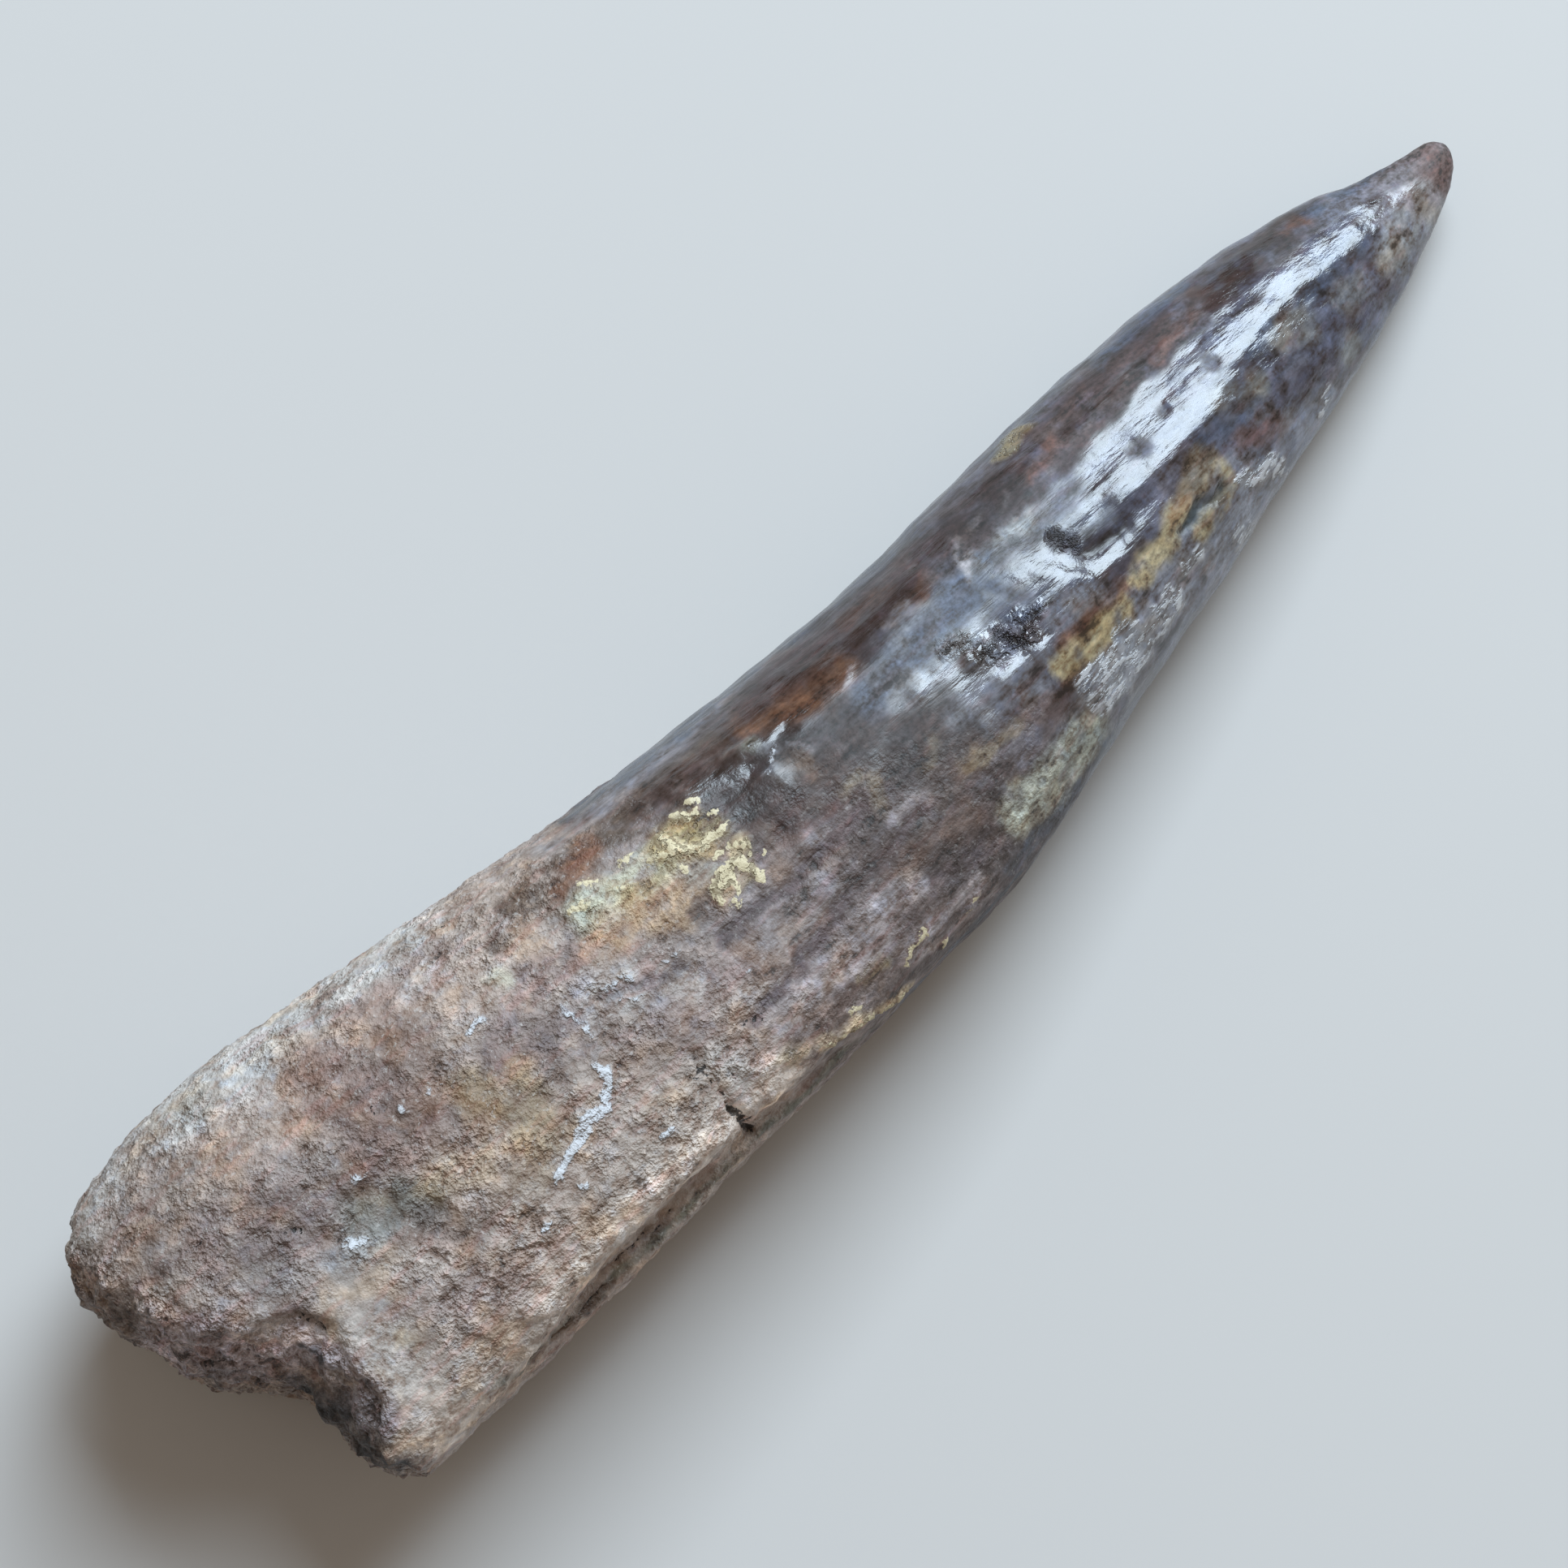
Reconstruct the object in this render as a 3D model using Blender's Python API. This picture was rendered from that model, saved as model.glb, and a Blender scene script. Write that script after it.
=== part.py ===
"""A fossil Spinosaurus tooth, its crown and most of its root in one piece, lying on its side.

The tooth is one solid, lofted in sections from the broken end of the root to the tip of the crown.
+X runs towards the tip, +Y is the side that the crown leans to, and +Z is up. Sizes in this file are
in millimetres, measured from the broken end, and become metres where the mesh is made.
Run it with: blender --background --python part.py
"""

import math

import bmesh
import bpy
from mathutils import Vector, noise

METRES = 0.001

# Driving dimensions
LENGTH = 111.3
TIP_ROUNDING = 1.1  # the last stretch, over which the tip rounds off

# The outline seen from above, as (along, across). Each list is a smooth curve through its points.
SIDE_PLUS = (
    (0, 13.2), (5, 14.0), (10, 14.6), (20, 13.9), (30, 12.4), (42, 10.7), (55, 9.6), (65, 9.2),
    (76, 9.6), (88, 9.5), (95, 8.9), (100, 8.0), (105, 6.5), (108, 5.6), (LENGTH, 4.7),
)
SIDE_MINUS = (
    (0, -12.5), (10, -12.8), (20, -12.5), (35, -12.2), (50, -11.7), (58, -11.4), (62, -10.8),
    (70, -8.8), (80, -6.7), (90, -4.3), (100, -1.9), (105, -0.3), (108, 0.8), (LENGTH, 2.3),
)
# The line along which the section is highest, as (along, across)
CREST = (
    (0, 0.5), (40, -0.5), (65, -0.6), (80, 0.4), (90, 1.3), (97, 2.3), (104, 2.9), (LENGTH, 3.5),
)
# Heights over the surface that the tooth lies on, as (along, height). The underside dips below zero
# where the tooth bears on that surface, and is worn off flat there.
TOP = (
    (0, 19.2), (10, 20.0), (25, 19.6), (40, 18.2), (55, 16.6), (66, 15.5), (78, 13.6),
    (90, 11.1), (100, 8.0), (105, 6.1), (108, 4.9), (LENGTH, 4.2),
)
UNDERSIDE = (
    (0, 0.4), (10, -0.2), (40, -0.3), (70, -0.3), (85, -0.1), (95, 0.3), (102, 0.9),
    (107, 1.6), (LENGTH, 2.2),
)
# How far up the widest level lies, as a share of the thickness
WIDEST = ((0, 0.50), (60, 0.48), (LENGTH, 0.50))
# How boxy the section is, as (along, power): 2 is an ellipse and more is squarer. Under 2 the flank
# is flatter, and meets the other side in a low ridge and the outline in a cutting edge.
BOXY_PLUS = ((0, 2.5), (40, 2.4), (65, 2.1), (LENGTH, 2.0))
BOXY_MINUS = ((0, 3.8), (40, 3.3), (62, 2.2), (80, 1.75), (LENGTH, 1.8))
BOXY_UNDER = ((0, 2.2), (50, 2.1), (LENGTH, 2.0))

# The broken end of the root, as (across, along): a worn lobe at +Y, then a slanting break
BREAK_LINE = (
    (-13, 8.8), (-12, 7.5), (-11, 6.5), (-8.5, 5.5), (-5, 5.5), (-3, 4.8), (-1, 2.9), (1, 1.5),
    (3.5, 1.2), (5.5, 0.5), (7.5, 0.3), (9, 0.2), (11, 1.2), (12.6, 3.9), (13.7, 8.2), (14.5, 12.5),
)
# How much further back the upper wall has broken, as (across, set back). The break is a bevel at
# the top and steepens downwards, to the share of the height where it is square to the tooth.
NOTCH = (
    (-10.8, 0.5), (-9.6, 2.2), (-8.6, 3.4), (-5, 4.0), (-3, 5.0), (-1, 5.6), (1, 4.4), (3, 2.8),
    (4.6, 1.0), (6, 0.4),
)
NOTCH_FLOOR = 0.4
NOTCH_STEEPENING = 3.5
BREAK_ROUGHNESS = 0.45
WORN_LOBE_RADIUS = 3.8
BROKEN_EDGE_RADIUS = 0.5
LOBE_EDGE = (-2.5, 7.0)  # across: over this stretch the worn radius takes over from the broken one
HIDDEN_EDGE_LEAN = 0.4  # the lower edge of the break is this much further back
PULP_HOLLOW = (-5.6, 10.4, 4.6, 3.6, 5.5)  # across, height, half width, half height, depth
BREAK_GRAIN = 2.4  # size of the break's lumps

# A strip of the root's outer layer has come off the upper edge at -Y and left a ledge, as (along, width)
LEDGE = ((12, 0.0), (17.5, 0.6), (23, 1.3), (36.5, 1.2), (43, 0.6), (49, 0.0))
LEDGE_HEIGHT = 0.62  # share of the thickness

# Hollows (positive depth) and swellings in the upper surface: along, across, half length,
# half width, depth
UPPER_RELIEF = (
    (75.7, 0.7, 2.4, 1.5, 0.45),  # where a flake of enamel has come off
    (67.0, -0.8, 3.0, 1.9, 0.28),  # rotted patch of enamel
    (72.0, 0.8, 1.8, 3.0, -0.22),  # swelling between those two
    (52.7, 2.7, 1.6, 1.5, -0.25),  # blister
    (17.9, -1.9, 2.6, 1.8, 0.45),
    (14.7, 0.7, 4.0, 1.6, 0.30),
    (11.9, -6.3, 2.6, 4.5, 0.35),  # smooth patch beside the notch
    (25.5, -1.2, 4.5, 3.0, -0.35),
    (42.4, 3.8, 5.5, 3.2, 0.30),  # hollow that holds the pale mineral
    (35.9, -10.6, 0.9, 1.5, 0.90),  # head of the crack at the -Y edge
    (35.1, -7.3, 1.4, 2.6, 0.25),
    (64.3, -8.3, 4.6, 1.5, 0.30),  # chipped cutting edge
    (82.0, -2.9, 1.8, 0.7, 0.15),
)
UNDER_RELIEF = (
    (28.0, 6.5, 9.0, 2.5, 0.6),
    (20.0, -7.5, 4.0, 2.2, 0.5),
    (58.0, -5.5, 7.0, 1.8, 0.4),
    (74.0, 5.0, 3.0, 1.6, 0.3),
)
LUMP_LENGTH = 10.8
LUMP_WIDTH = 6.5
LUMP_HEIGHT = ((0, 0.30), (35, 0.26), (60, 0.10), (80, 0.05), (LENGTH, 0.02))

# Mesh density
SECTION_POINTS = 66
FINE_STEPS = 360  # round a section, when its points are spaced out evenly
BLEND_END = 27.0  # sections follow the break at the root and are square to X from here on
BLEND_SECTIONS = 17
STRAIGHT_SECTIONS = 42
CROWDING = 1.5  # over 1, sections are closer together near the break and near the tip
CAP_RINGS = 8


def along_curve(points, at):
    """The value at one place of the smooth curve through (place, value) points, level past its ends."""
    if at <= points[0][0]:
        return points[0][1]
    if at >= points[-1][0]:
        return points[-1][1]
    last = len(points) - 1
    i = next(k for k in range(last) if at <= points[k + 1][0])
    x0, y0 = points[i]
    x1, y1 = points[i + 1]
    step = (y1 - y0) / (x1 - x0)
    before = (y0 - points[i - 1][1]) / (x0 - points[i - 1][0]) if i > 0 else step
    after = (points[i + 2][1] - y1) / (points[i + 2][0] - x1) if i + 1 < last else step
    t = (at - x0) / (x1 - x0)
    slope0 = (before + step) / 2 * (x1 - x0)
    slope1 = (step + after) / 2 * (x1 - x0)
    return (
        (2 * t**3 - 3 * t**2 + 1) * y0
        + (t**3 - 2 * t**2 + t) * slope0
        + (3 * t**2 - 2 * t**3) * y1
        + (t**3 - t**2) * slope1
    )


def ease(value, low, high):
    """0 below low, 1 above high, and a smooth step in between."""
    t = min(max((value - low) / (high - low), 0.0), 1.0)
    return t * t * (3 - 2 * t)


def signed_power(value, power):
    return math.copysign(abs(value) ** power, value)


def section_point(along, angle):
    """(across, height) of the plain section there. The angle runs from +Y over the top to -Y."""
    crest = along_curve(CREST, along)
    top = along_curve(TOP, along)
    under = along_curve(UNDERSIDE, along)
    widest = under + (top - under) * along_curve(WIDEST, along)
    if math.cos(angle) > 0:
        half_width = along_curve(SIDE_PLUS, along) - crest
        boxy = BOXY_PLUS
    else:
        half_width = crest - along_curve(SIDE_MINUS, along)
        boxy = BOXY_MINUS
    if math.sin(angle) > 0:
        half_height = top - widest
    else:
        half_height = widest - under
        boxy = BOXY_UNDER
    power = 2 / along_curve(boxy, along)
    near_tip = min(max((along - LENGTH + TIP_ROUNDING) / TIP_ROUNDING, 0.0), 1.0)
    rounding = math.sqrt(1 - near_tip**2)
    across = crest + rounding * half_width * signed_power(math.cos(angle), power)
    height = widest + rounding * half_height * signed_power(math.sin(angle), power)
    return across, height


def even_angles(along):
    """The angles that space the points of that section evenly round it."""
    fine = [2 * math.pi * k / FINE_STEPS for k in range(FINE_STEPS + 1)]
    points = [section_point(along, angle) for angle in fine]
    reached = [0.0]
    for point, following in zip(points, points[1:]):
        reached.append(reached[-1] + math.dist(point, following))
    angles = []
    k = 0
    for i in range(SECTION_POINTS):
        wanted = reached[-1] * i / SECTION_POINTS
        while reached[k + 1] < wanted:
            k += 1
        share = (wanted - reached[k]) / (reached[k + 1] - reached[k])
        angles.append(fine[k] + share * (fine[k + 1] - fine[k]))
    return angles


def break_at(across, height):
    """How far along the broken end lies at one place of the section."""
    level = height / along_curve(TOP, 0)
    up = max(level - NOTCH_FLOOR, 0.0) / (1 - NOTCH_FLOOR)
    lean = along_curve(NOTCH, across) * up**NOTCH_STEEPENING
    lean += HIDDEN_EDGE_LEAN * ease(0.3 - level, 0.0, 0.3)
    mid_across, mid_height, half_width, half_height, depth = PULP_HOLLOW
    off = math.hypot((across - mid_across) / half_width, (height - mid_height) / half_height)
    hollow = depth * (1 - ease(off, 0.25, 1.0))
    place = Vector((0, across, height)) / BREAK_GRAIN
    rough = noise.noise(place) + 0.5 * noise.noise(place * BREAK_GRAIN)
    return along_curve(BREAK_LINE, across) + lean + hollow + BREAK_ROUGHNESS * rough


def edge_radius(across):
    share = ease(across, *LOBE_EDGE)
    return BROKEN_EDGE_RADIUS + (WORN_LOBE_RADIUS - BROKEN_EDGE_RADIUS) * share


def relief_at(features, along, across):
    depth = 0.0
    for mid_along, mid_across, half_length, half_width, most in features:
        reach = ((along - mid_along) / half_length) ** 2 + ((across - mid_across) / half_width) ** 2
        depth += most * math.exp(-reach)
    return depth


def surface_point(along, angle, from_break):
    """A point of the outer surface, in millimetres, that far from the broken end."""
    across, height = section_point(along, angle)
    radius = edge_radius(across)
    near = 1 - min(max(from_break / radius, 0.0), 1.0)
    inset = radius * (1 - math.sqrt(1 - near * near))
    middle = Vector((along, along_curve(CREST, along), along_curve(TOP, along) / 2))
    point = Vector((along, across, height))
    inward = middle - point
    if inward.length > inset > 0:
        point += inward.normalized() * inset

    place = Vector((along / LUMP_LENGTH, across / LUMP_WIDTH, height / LUMP_WIDTH))
    outward = Vector((0, math.cos(angle), math.sin(angle)))
    point += outward * along_curve(LUMP_HEIGHT, along) * noise.noise(place)
    if math.sin(angle) > 0:
        point.z -= relief_at(UPPER_RELIEF, along, across) * math.sin(angle) ** 0.5
    else:
        point.z += relief_at(UNDER_RELIEF, along, across) * (-math.sin(angle)) ** 0.5

    thickness = along_curve(TOP, along)
    if math.cos(angle) < 0 and height > thickness * LEDGE_HEIGHT:
        edge = along_curve(SIDE_MINUS, along) + along_curve(LEDGE, along)
        point.y = max(point.y, edge)
    point.z = max(point.z, 0.0)
    return point


def ring(points, bm):
    return [bm.verts.new(p) for p in points]


def skin(bm, first, second):
    """Faces between two rings of as many points."""
    count = len(first)
    for i in range(count):
        j = (i + 1) % count
        bm.faces.new((first[i], first[j], second[j], second[i]))


def fan(bm, edge, pole):
    count = len(edge)
    for i in range(count):
        bm.faces.new((edge[i], edge[(i + 1) % count], pole))


def blended_rings(bm):
    """The rings at the root. The first is the rim of the break, and the last is nearly flat."""
    angles = even_angles(BLEND_END / 2)
    starts = []
    for angle in angles:
        across, height = section_point(0, angle)
        for _ in range(3):  # settles on where the section meets the break
            start = break_at(across, height)
            across, height = section_point(start, angle)
        rim = surface_point(start, angle, 0.0)
        starts.append(break_at(rim.y, rim.z))
    rings = []
    for k in range(BLEND_SECTIONS):
        share = (k / BLEND_SECTIONS) ** CROWDING
        places = [start + (BLEND_END - start) * share for start in starts]
        points = [
            surface_point(place, angle, place - start)
            for place, angle, start in zip(places, angles, starts)
        ]
        rings.append(ring(points, bm))
    return rings


def straight_rings(bm):
    """The rings square to X, from the root to just short of the tip."""
    rings = []
    for k in range(STRAIGHT_SECTIONS):
        left = (1 - k / STRAIGHT_SECTIONS) ** CROWDING
        place = LENGTH - (LENGTH - BLEND_END) * left
        points = [surface_point(place, angle, place) for angle in even_angles(place)]
        rings.append(ring(points, bm))
    return rings


def close_break(bm, rim):
    """The broken face of the root: rings that shrink from the rim to a point inside the hollow."""
    middle_across, middle_height = PULP_HOLLOW[0], PULP_HOLLOW[1]
    outer = rim
    for k in range(1, CAP_RINGS):
        share = 1 - k / CAP_RINGS
        points = []
        for vertex in rim:
            across = middle_across + (vertex.co.y - middle_across) * share
            height = middle_height + (vertex.co.z - middle_height) * share
            points.append(Vector((break_at(across, height), across, height)))
        inner = ring(points, bm)
        skin(bm, inner, outer)
        outer = inner
    pole = bm.verts.new((break_at(middle_across, middle_height), middle_across, middle_height))
    fan(bm, list(reversed(outer)), pole)


def tooth_mesh():
    bm = bmesh.new()
    rings = blended_rings(bm) + straight_rings(bm)
    for first, second in zip(rings, rings[1:]):
        skin(bm, first, second)
    tip_height = (along_curve(TOP, LENGTH) + along_curve(UNDERSIDE, LENGTH)) / 2
    tip = bm.verts.new((LENGTH, along_curve(CREST, LENGTH), tip_height))
    fan(bm, rings[-1], tip)
    close_break(bm, rings[0])
    bmesh.ops.triangulate(bm, faces=bm.faces[:])
    bmesh.ops.recalc_face_normals(bm, faces=bm.faces[:])

    low = [min(v.co[k] for v in bm.verts) for k in range(3)]
    high = [max(v.co[k] for v in bm.verts) for k in range(3)]
    foot = Vector(((low[0] + high[0]) / 2, (low[1] + high[1]) / 2, low[2]))
    bmesh.ops.translate(bm, vec=-foot, verts=bm.verts[:])
    bmesh.ops.scale(bm, vec=(METRES, METRES, METRES), verts=bm.verts[:])
    mesh = bpy.data.meshes.new("fossil_tooth")
    bm.to_mesh(mesh)
    bm.free()
    mesh.shade_smooth()
    mesh.set_sharp_from_angle(angle=math.radians(40))
    return mesh


def tooth_material():
    material = bpy.data.materials.new("fossil_tooth")
    material.use_nodes = True
    shader = material.node_tree.nodes["Principled BSDF"]
    shader.inputs["Base Color"].default_value = (0.22, 0.17, 0.14, 1)
    shader.inputs["Roughness"].default_value = 0.5
    shader.inputs["Metallic"].default_value = 0.0
    return material


for leftover in list(bpy.data.objects):
    bpy.data.objects.remove(leftover)
tooth = bpy.data.objects.new("fossil_tooth", tooth_mesh())
tooth.data.materials.append(tooth_material())
bpy.context.scene.collection.objects.link(tooth)
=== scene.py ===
import math

import bmesh
import bpy
import numpy as np
from mathutils import Matrix, Vector, noise


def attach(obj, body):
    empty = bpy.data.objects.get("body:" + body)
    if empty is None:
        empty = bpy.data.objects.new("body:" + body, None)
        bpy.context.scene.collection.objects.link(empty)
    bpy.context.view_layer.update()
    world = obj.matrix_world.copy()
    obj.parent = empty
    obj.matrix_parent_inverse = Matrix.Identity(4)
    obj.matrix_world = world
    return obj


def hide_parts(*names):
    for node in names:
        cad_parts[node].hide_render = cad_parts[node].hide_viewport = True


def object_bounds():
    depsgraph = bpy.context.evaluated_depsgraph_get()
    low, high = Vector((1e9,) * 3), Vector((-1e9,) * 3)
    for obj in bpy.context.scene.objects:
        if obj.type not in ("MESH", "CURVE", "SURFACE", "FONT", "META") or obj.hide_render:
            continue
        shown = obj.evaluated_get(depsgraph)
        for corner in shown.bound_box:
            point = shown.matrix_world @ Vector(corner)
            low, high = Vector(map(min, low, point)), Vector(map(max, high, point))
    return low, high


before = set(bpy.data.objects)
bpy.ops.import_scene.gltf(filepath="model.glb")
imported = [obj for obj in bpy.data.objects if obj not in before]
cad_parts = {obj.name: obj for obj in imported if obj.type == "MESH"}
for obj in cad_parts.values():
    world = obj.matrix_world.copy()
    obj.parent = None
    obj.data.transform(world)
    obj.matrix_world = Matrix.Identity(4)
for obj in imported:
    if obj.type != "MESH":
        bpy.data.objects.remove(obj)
cad_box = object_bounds()

# ---------------------------------------------------------------------------------------------
# The tooth. A shed, fossilised tooth of a fish-eating dinosaur: a porous tan root that broke off
# at one end, and a long worn crown of dark enamel. Bone, dentine, enamel and the crust that grew
# on them are one stony mass, so it is one skin, carved by strokes and then roughened by a rule.
# ---------------------------------------------------------------------------------------------
MM = 0.001
SKIN_STEP = 0.30 * MM            # spacing of the points of the skin
SMOOTHING_ROUNDS = 26            # rounds that melt the facets of the solid
SMOOTH_IN, SMOOTH_OUT = 0.5, 0.52   # each round shrinks the skin, then swells it back
TIP_LEAN_START, TIP_LEAN, TIP_GROWTH = 102.0, 0.5, 0.5  # the worn tip turns a little to one side
TIP_TAPER_START, TIP_TAPER = 103.0, 0.20                 # and narrows
WARP_WIDE, WARP_FINE = (0.55, 0.55), (0.22, 1.7)   # how far stain edges wander, mm, and per mm


def merged_copy(source):
    """The solid's triangles joined into one closed shell."""
    shell = bmesh.new()
    shell.from_mesh(source.data)
    bmesh.ops.remove_doubles(shell, verts=shell.verts, dist=0.001 * MM)
    mesh = bpy.data.meshes.new("tooth_core")
    shell.to_mesh(mesh)
    shell.free()
    return mesh


def applied(piece):
    """The mesh that a piece's modifiers give."""
    graph = bpy.context.evaluated_depsgraph_get()
    made = bpy.data.meshes.new_from_object(piece.evaluated_get(graph), depsgraph=graph)
    piece.modifiers.clear()
    old, piece.data = piece.data, made
    bpy.data.meshes.remove(old)
    return made


tooth = bpy.data.objects.new("tooth", merged_copy(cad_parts["fossil_tooth"]))
bpy.context.scene.collection.objects.link(tooth)
even = tooth.modifiers.new("even_skin", "REMESH")
even.mode = "VOXEL"
even.voxel_size = SKIN_STEP
skin = applied(tooth)
skin.name = "tooth_skin"

count = len(skin.vertices)
place = np.empty(count * 3)
skin.vertices.foreach_get("co", place)
place = place.reshape(-1, 3)
edges = np.empty(len(skin.edges) * 2, dtype=np.int64)
skin.edges.foreach_get("vertices", edges)
edges = edges.reshape(-1, 2)
degree = np.bincount(edges.ravel(), minlength=count)


def neighbour_mean(values):
    """The mean of each point's neighbours."""
    out = np.empty_like(values)
    for k in range(values.shape[1]):
        total = np.bincount(edges[:, 0], values[edges[:, 1], k], count)
        total += np.bincount(edges[:, 1], values[edges[:, 0], k], count)
        out[:, k] = total / degree
    return out


for _ in range(SMOOTHING_ROUNDS):
    place += SMOOTH_IN * (neighbour_mean(place) - place)
    place += SMOOTH_OUT * (place - neighbour_mean(place))

# The worn tip.
reach = (place[:, 0] - cad_box[0][0]) / MM
lean = np.clip((reach - TIP_LEAN_START) / (reach.max() - TIP_LEAN_START), 0.0, 1.0) ** 2
place[:, 0] += TIP_GROWTH * MM * lean
place[:, 1] += TIP_LEAN * MM * lean
worn = np.clip((reach - TIP_TAPER_START) / (reach.max() - TIP_TAPER_START), 0.0, 1.0)
middle_line = place[reach > TIP_TAPER_START, 1].mean()
place[:, 1] -= TIP_TAPER * worn * np.maximum(place[:, 1] - middle_line, 0.0)
place[:, 2] = np.maximum(place[:, 2], 0.0)
skin.vertices.foreach_set("co", place.ravel())
skin.update()
facing = np.empty(count * 3)
skin.vertices.foreach_get("normal", facing)
facing = facing.reshape(-1, 3)

# along: mm from the root's end towards the tip; across: mm from the middle plane
along = (place[:, 0] - cad_box[0][0]) / MM
across = place[:, 1] / MM
# Marks run on down the sides: below the turn of a side, `across` goes on growing with depth.
# Each row is mm along, height of the turn on the far side and on the near side, and the middle.
SIDE_TURNS = np.array([
    (0, 9.9, 14.0, 0.0), (17, 9.9, 15.0, 0.0), (24, 9.7, 17.0, -0.5), (44, 8.5, 14.4, -1.6),
    (54, 8.0, 12.0, -1.8), (60, 7.7, 10.5, -1.8), (66, 7.2, 8.5, -1.2), (84, 6.0, 6.0, 1.0),
    (96, 4.9, 4.9, 2.0), (108, 3.4, 3.4, 2.2)])
far_turn, near_turn, middle_of = (
    np.interp(along, SIDE_TURNS[:, 0], SIDE_TURNS[:, k]) for k in (1, 2, 3))
rise = place[:, 2] / MM
across = np.where(across > middle_of, across + np.maximum(far_turn - rise, 0.0),
                  across - np.maximum(near_turn - rise, 0.0))

noise.seed_set(7)   # noise_vector() takes its offsets from this seed
PATTERN_STEP = (17.3, 5.1, 9.7)   # sets the pattern of each seed well apart from the others


def wander(rate, seed):
    """A smooth random vector at each point of the skin, about -1 to 1, with `rate` waves per mm."""
    shift = Vector([seed * part for part in PATTERN_STEP])
    step = rate / MM
    return np.array([noise.noise_vector(Vector(p) * step + shift) for p in place])


wide, fine = wander(WARP_WIDE[1], 1), wander(WARP_FINE[1], 2)
spot = np.stack([along, across], 1) + WARP_WIDE[0] * wide[:, :2] + WARP_FINE[0] * fine[:, :2]


def ease(x):
    """0 below 0, 1 above 1, and a smooth step in between."""
    x = np.clip(x, 0.0, 1.0)
    return x * x * (3.0 - 2.0 * x)


def near(path, radius, points):
    """1 on the path, falling to 0 at `radius` from it."""
    nearest = np.full(len(points), 1e9)
    path = [np.array(p, float) for p in path]
    for a, b in zip(path, path[1:] or path):
        run = b - a
        t = np.clip(((points - a) @ run) / max(run @ run, 1e-9), 0.0, 1.0)
        nearest = np.minimum(nearest, np.linalg.norm(points - a - t[:, None] * run, axis=1))
    return np.clip(1.0 - nearest / radius, 0.0, 1.0)


def beyond(path, points):
    """Distance in mm from the path, negative on the side of lower `across`, and how far along it."""
    nearest, signed, travelled = np.full(len(points), 1e9), np.zeros(len(points)), np.zeros(len(points))
    path = [np.array(p, float) for p in path]
    for n, (a, b) in enumerate(zip(path, path[1:])):
        run = b - a
        t = np.clip(((points - a) @ run) / (run @ run), 0.0, 1.0)
        gap = points - a - t[:, None] * run
        length = np.linalg.norm(gap, axis=1)
        turn = run[0] * gap[:, 1] - run[1] * gap[:, 0]
        closer = length < nearest
        nearest = np.where(closer, length, nearest)
        signed = np.where(closer, np.sign(turn) * length, signed)
        travelled = np.where(closer, (n + t) / (len(path) - 1), travelled)
    return signed, travelled


def strokes(marks, points):
    """The strongest of a set of strokes at each point. A stroke is radius, strength, then its path."""
    field = np.zeros(len(points))
    for radius, strength, *path in marks:
        field = np.maximum(field, strength * near(path, radius, points))
    return field


# Towards the crown the root is worn smoother and its grain is drawn out along the tooth.
NECK_START, NECK_END, NECK_WOBBLE, NECK_WEAR = 35.0, 47.0, 3.0, 0.6
neck = ease((along - NECK_START + NECK_WOBBLE * wide[:, 2]) / (NECK_END - NECK_START))

# How much of each point is seen from above, so that stains stay on the upper side.
UPPER_FROM, UPPER_OVER = -0.35, 0.4   # the skin's upward lean where they start, and over how much
upper = ease((facing[:, 2] - UPPER_FROM) / UPPER_OVER)

# Ground colours along the tooth: mm along, then the colour. The crown's blue-grey is partly
# painted cool reflection.
GROUND = [
    (0, (0.24, 0.20, 0.18)), (7, (0.30, 0.26, 0.24)), (14, (0.35, 0.31, 0.29)),
    (22, (0.34, 0.28, 0.25)), (30, (0.36, 0.31, 0.28)), (36, (0.36, 0.31, 0.28)),
    (41, (0.26, 0.215, 0.20)), (46, (0.165, 0.135, 0.13)), (52, (0.088, 0.067, 0.064)),
    (60, (0.074, 0.062, 0.064)), (70, (0.105, 0.097, 0.112)), (80, (0.13, 0.125, 0.155)),
    (92, (0.12, 0.122, 0.158)), (102, (0.125, 0.125, 0.158)), (109, (0.19, 0.15, 0.145)),
]
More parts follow.
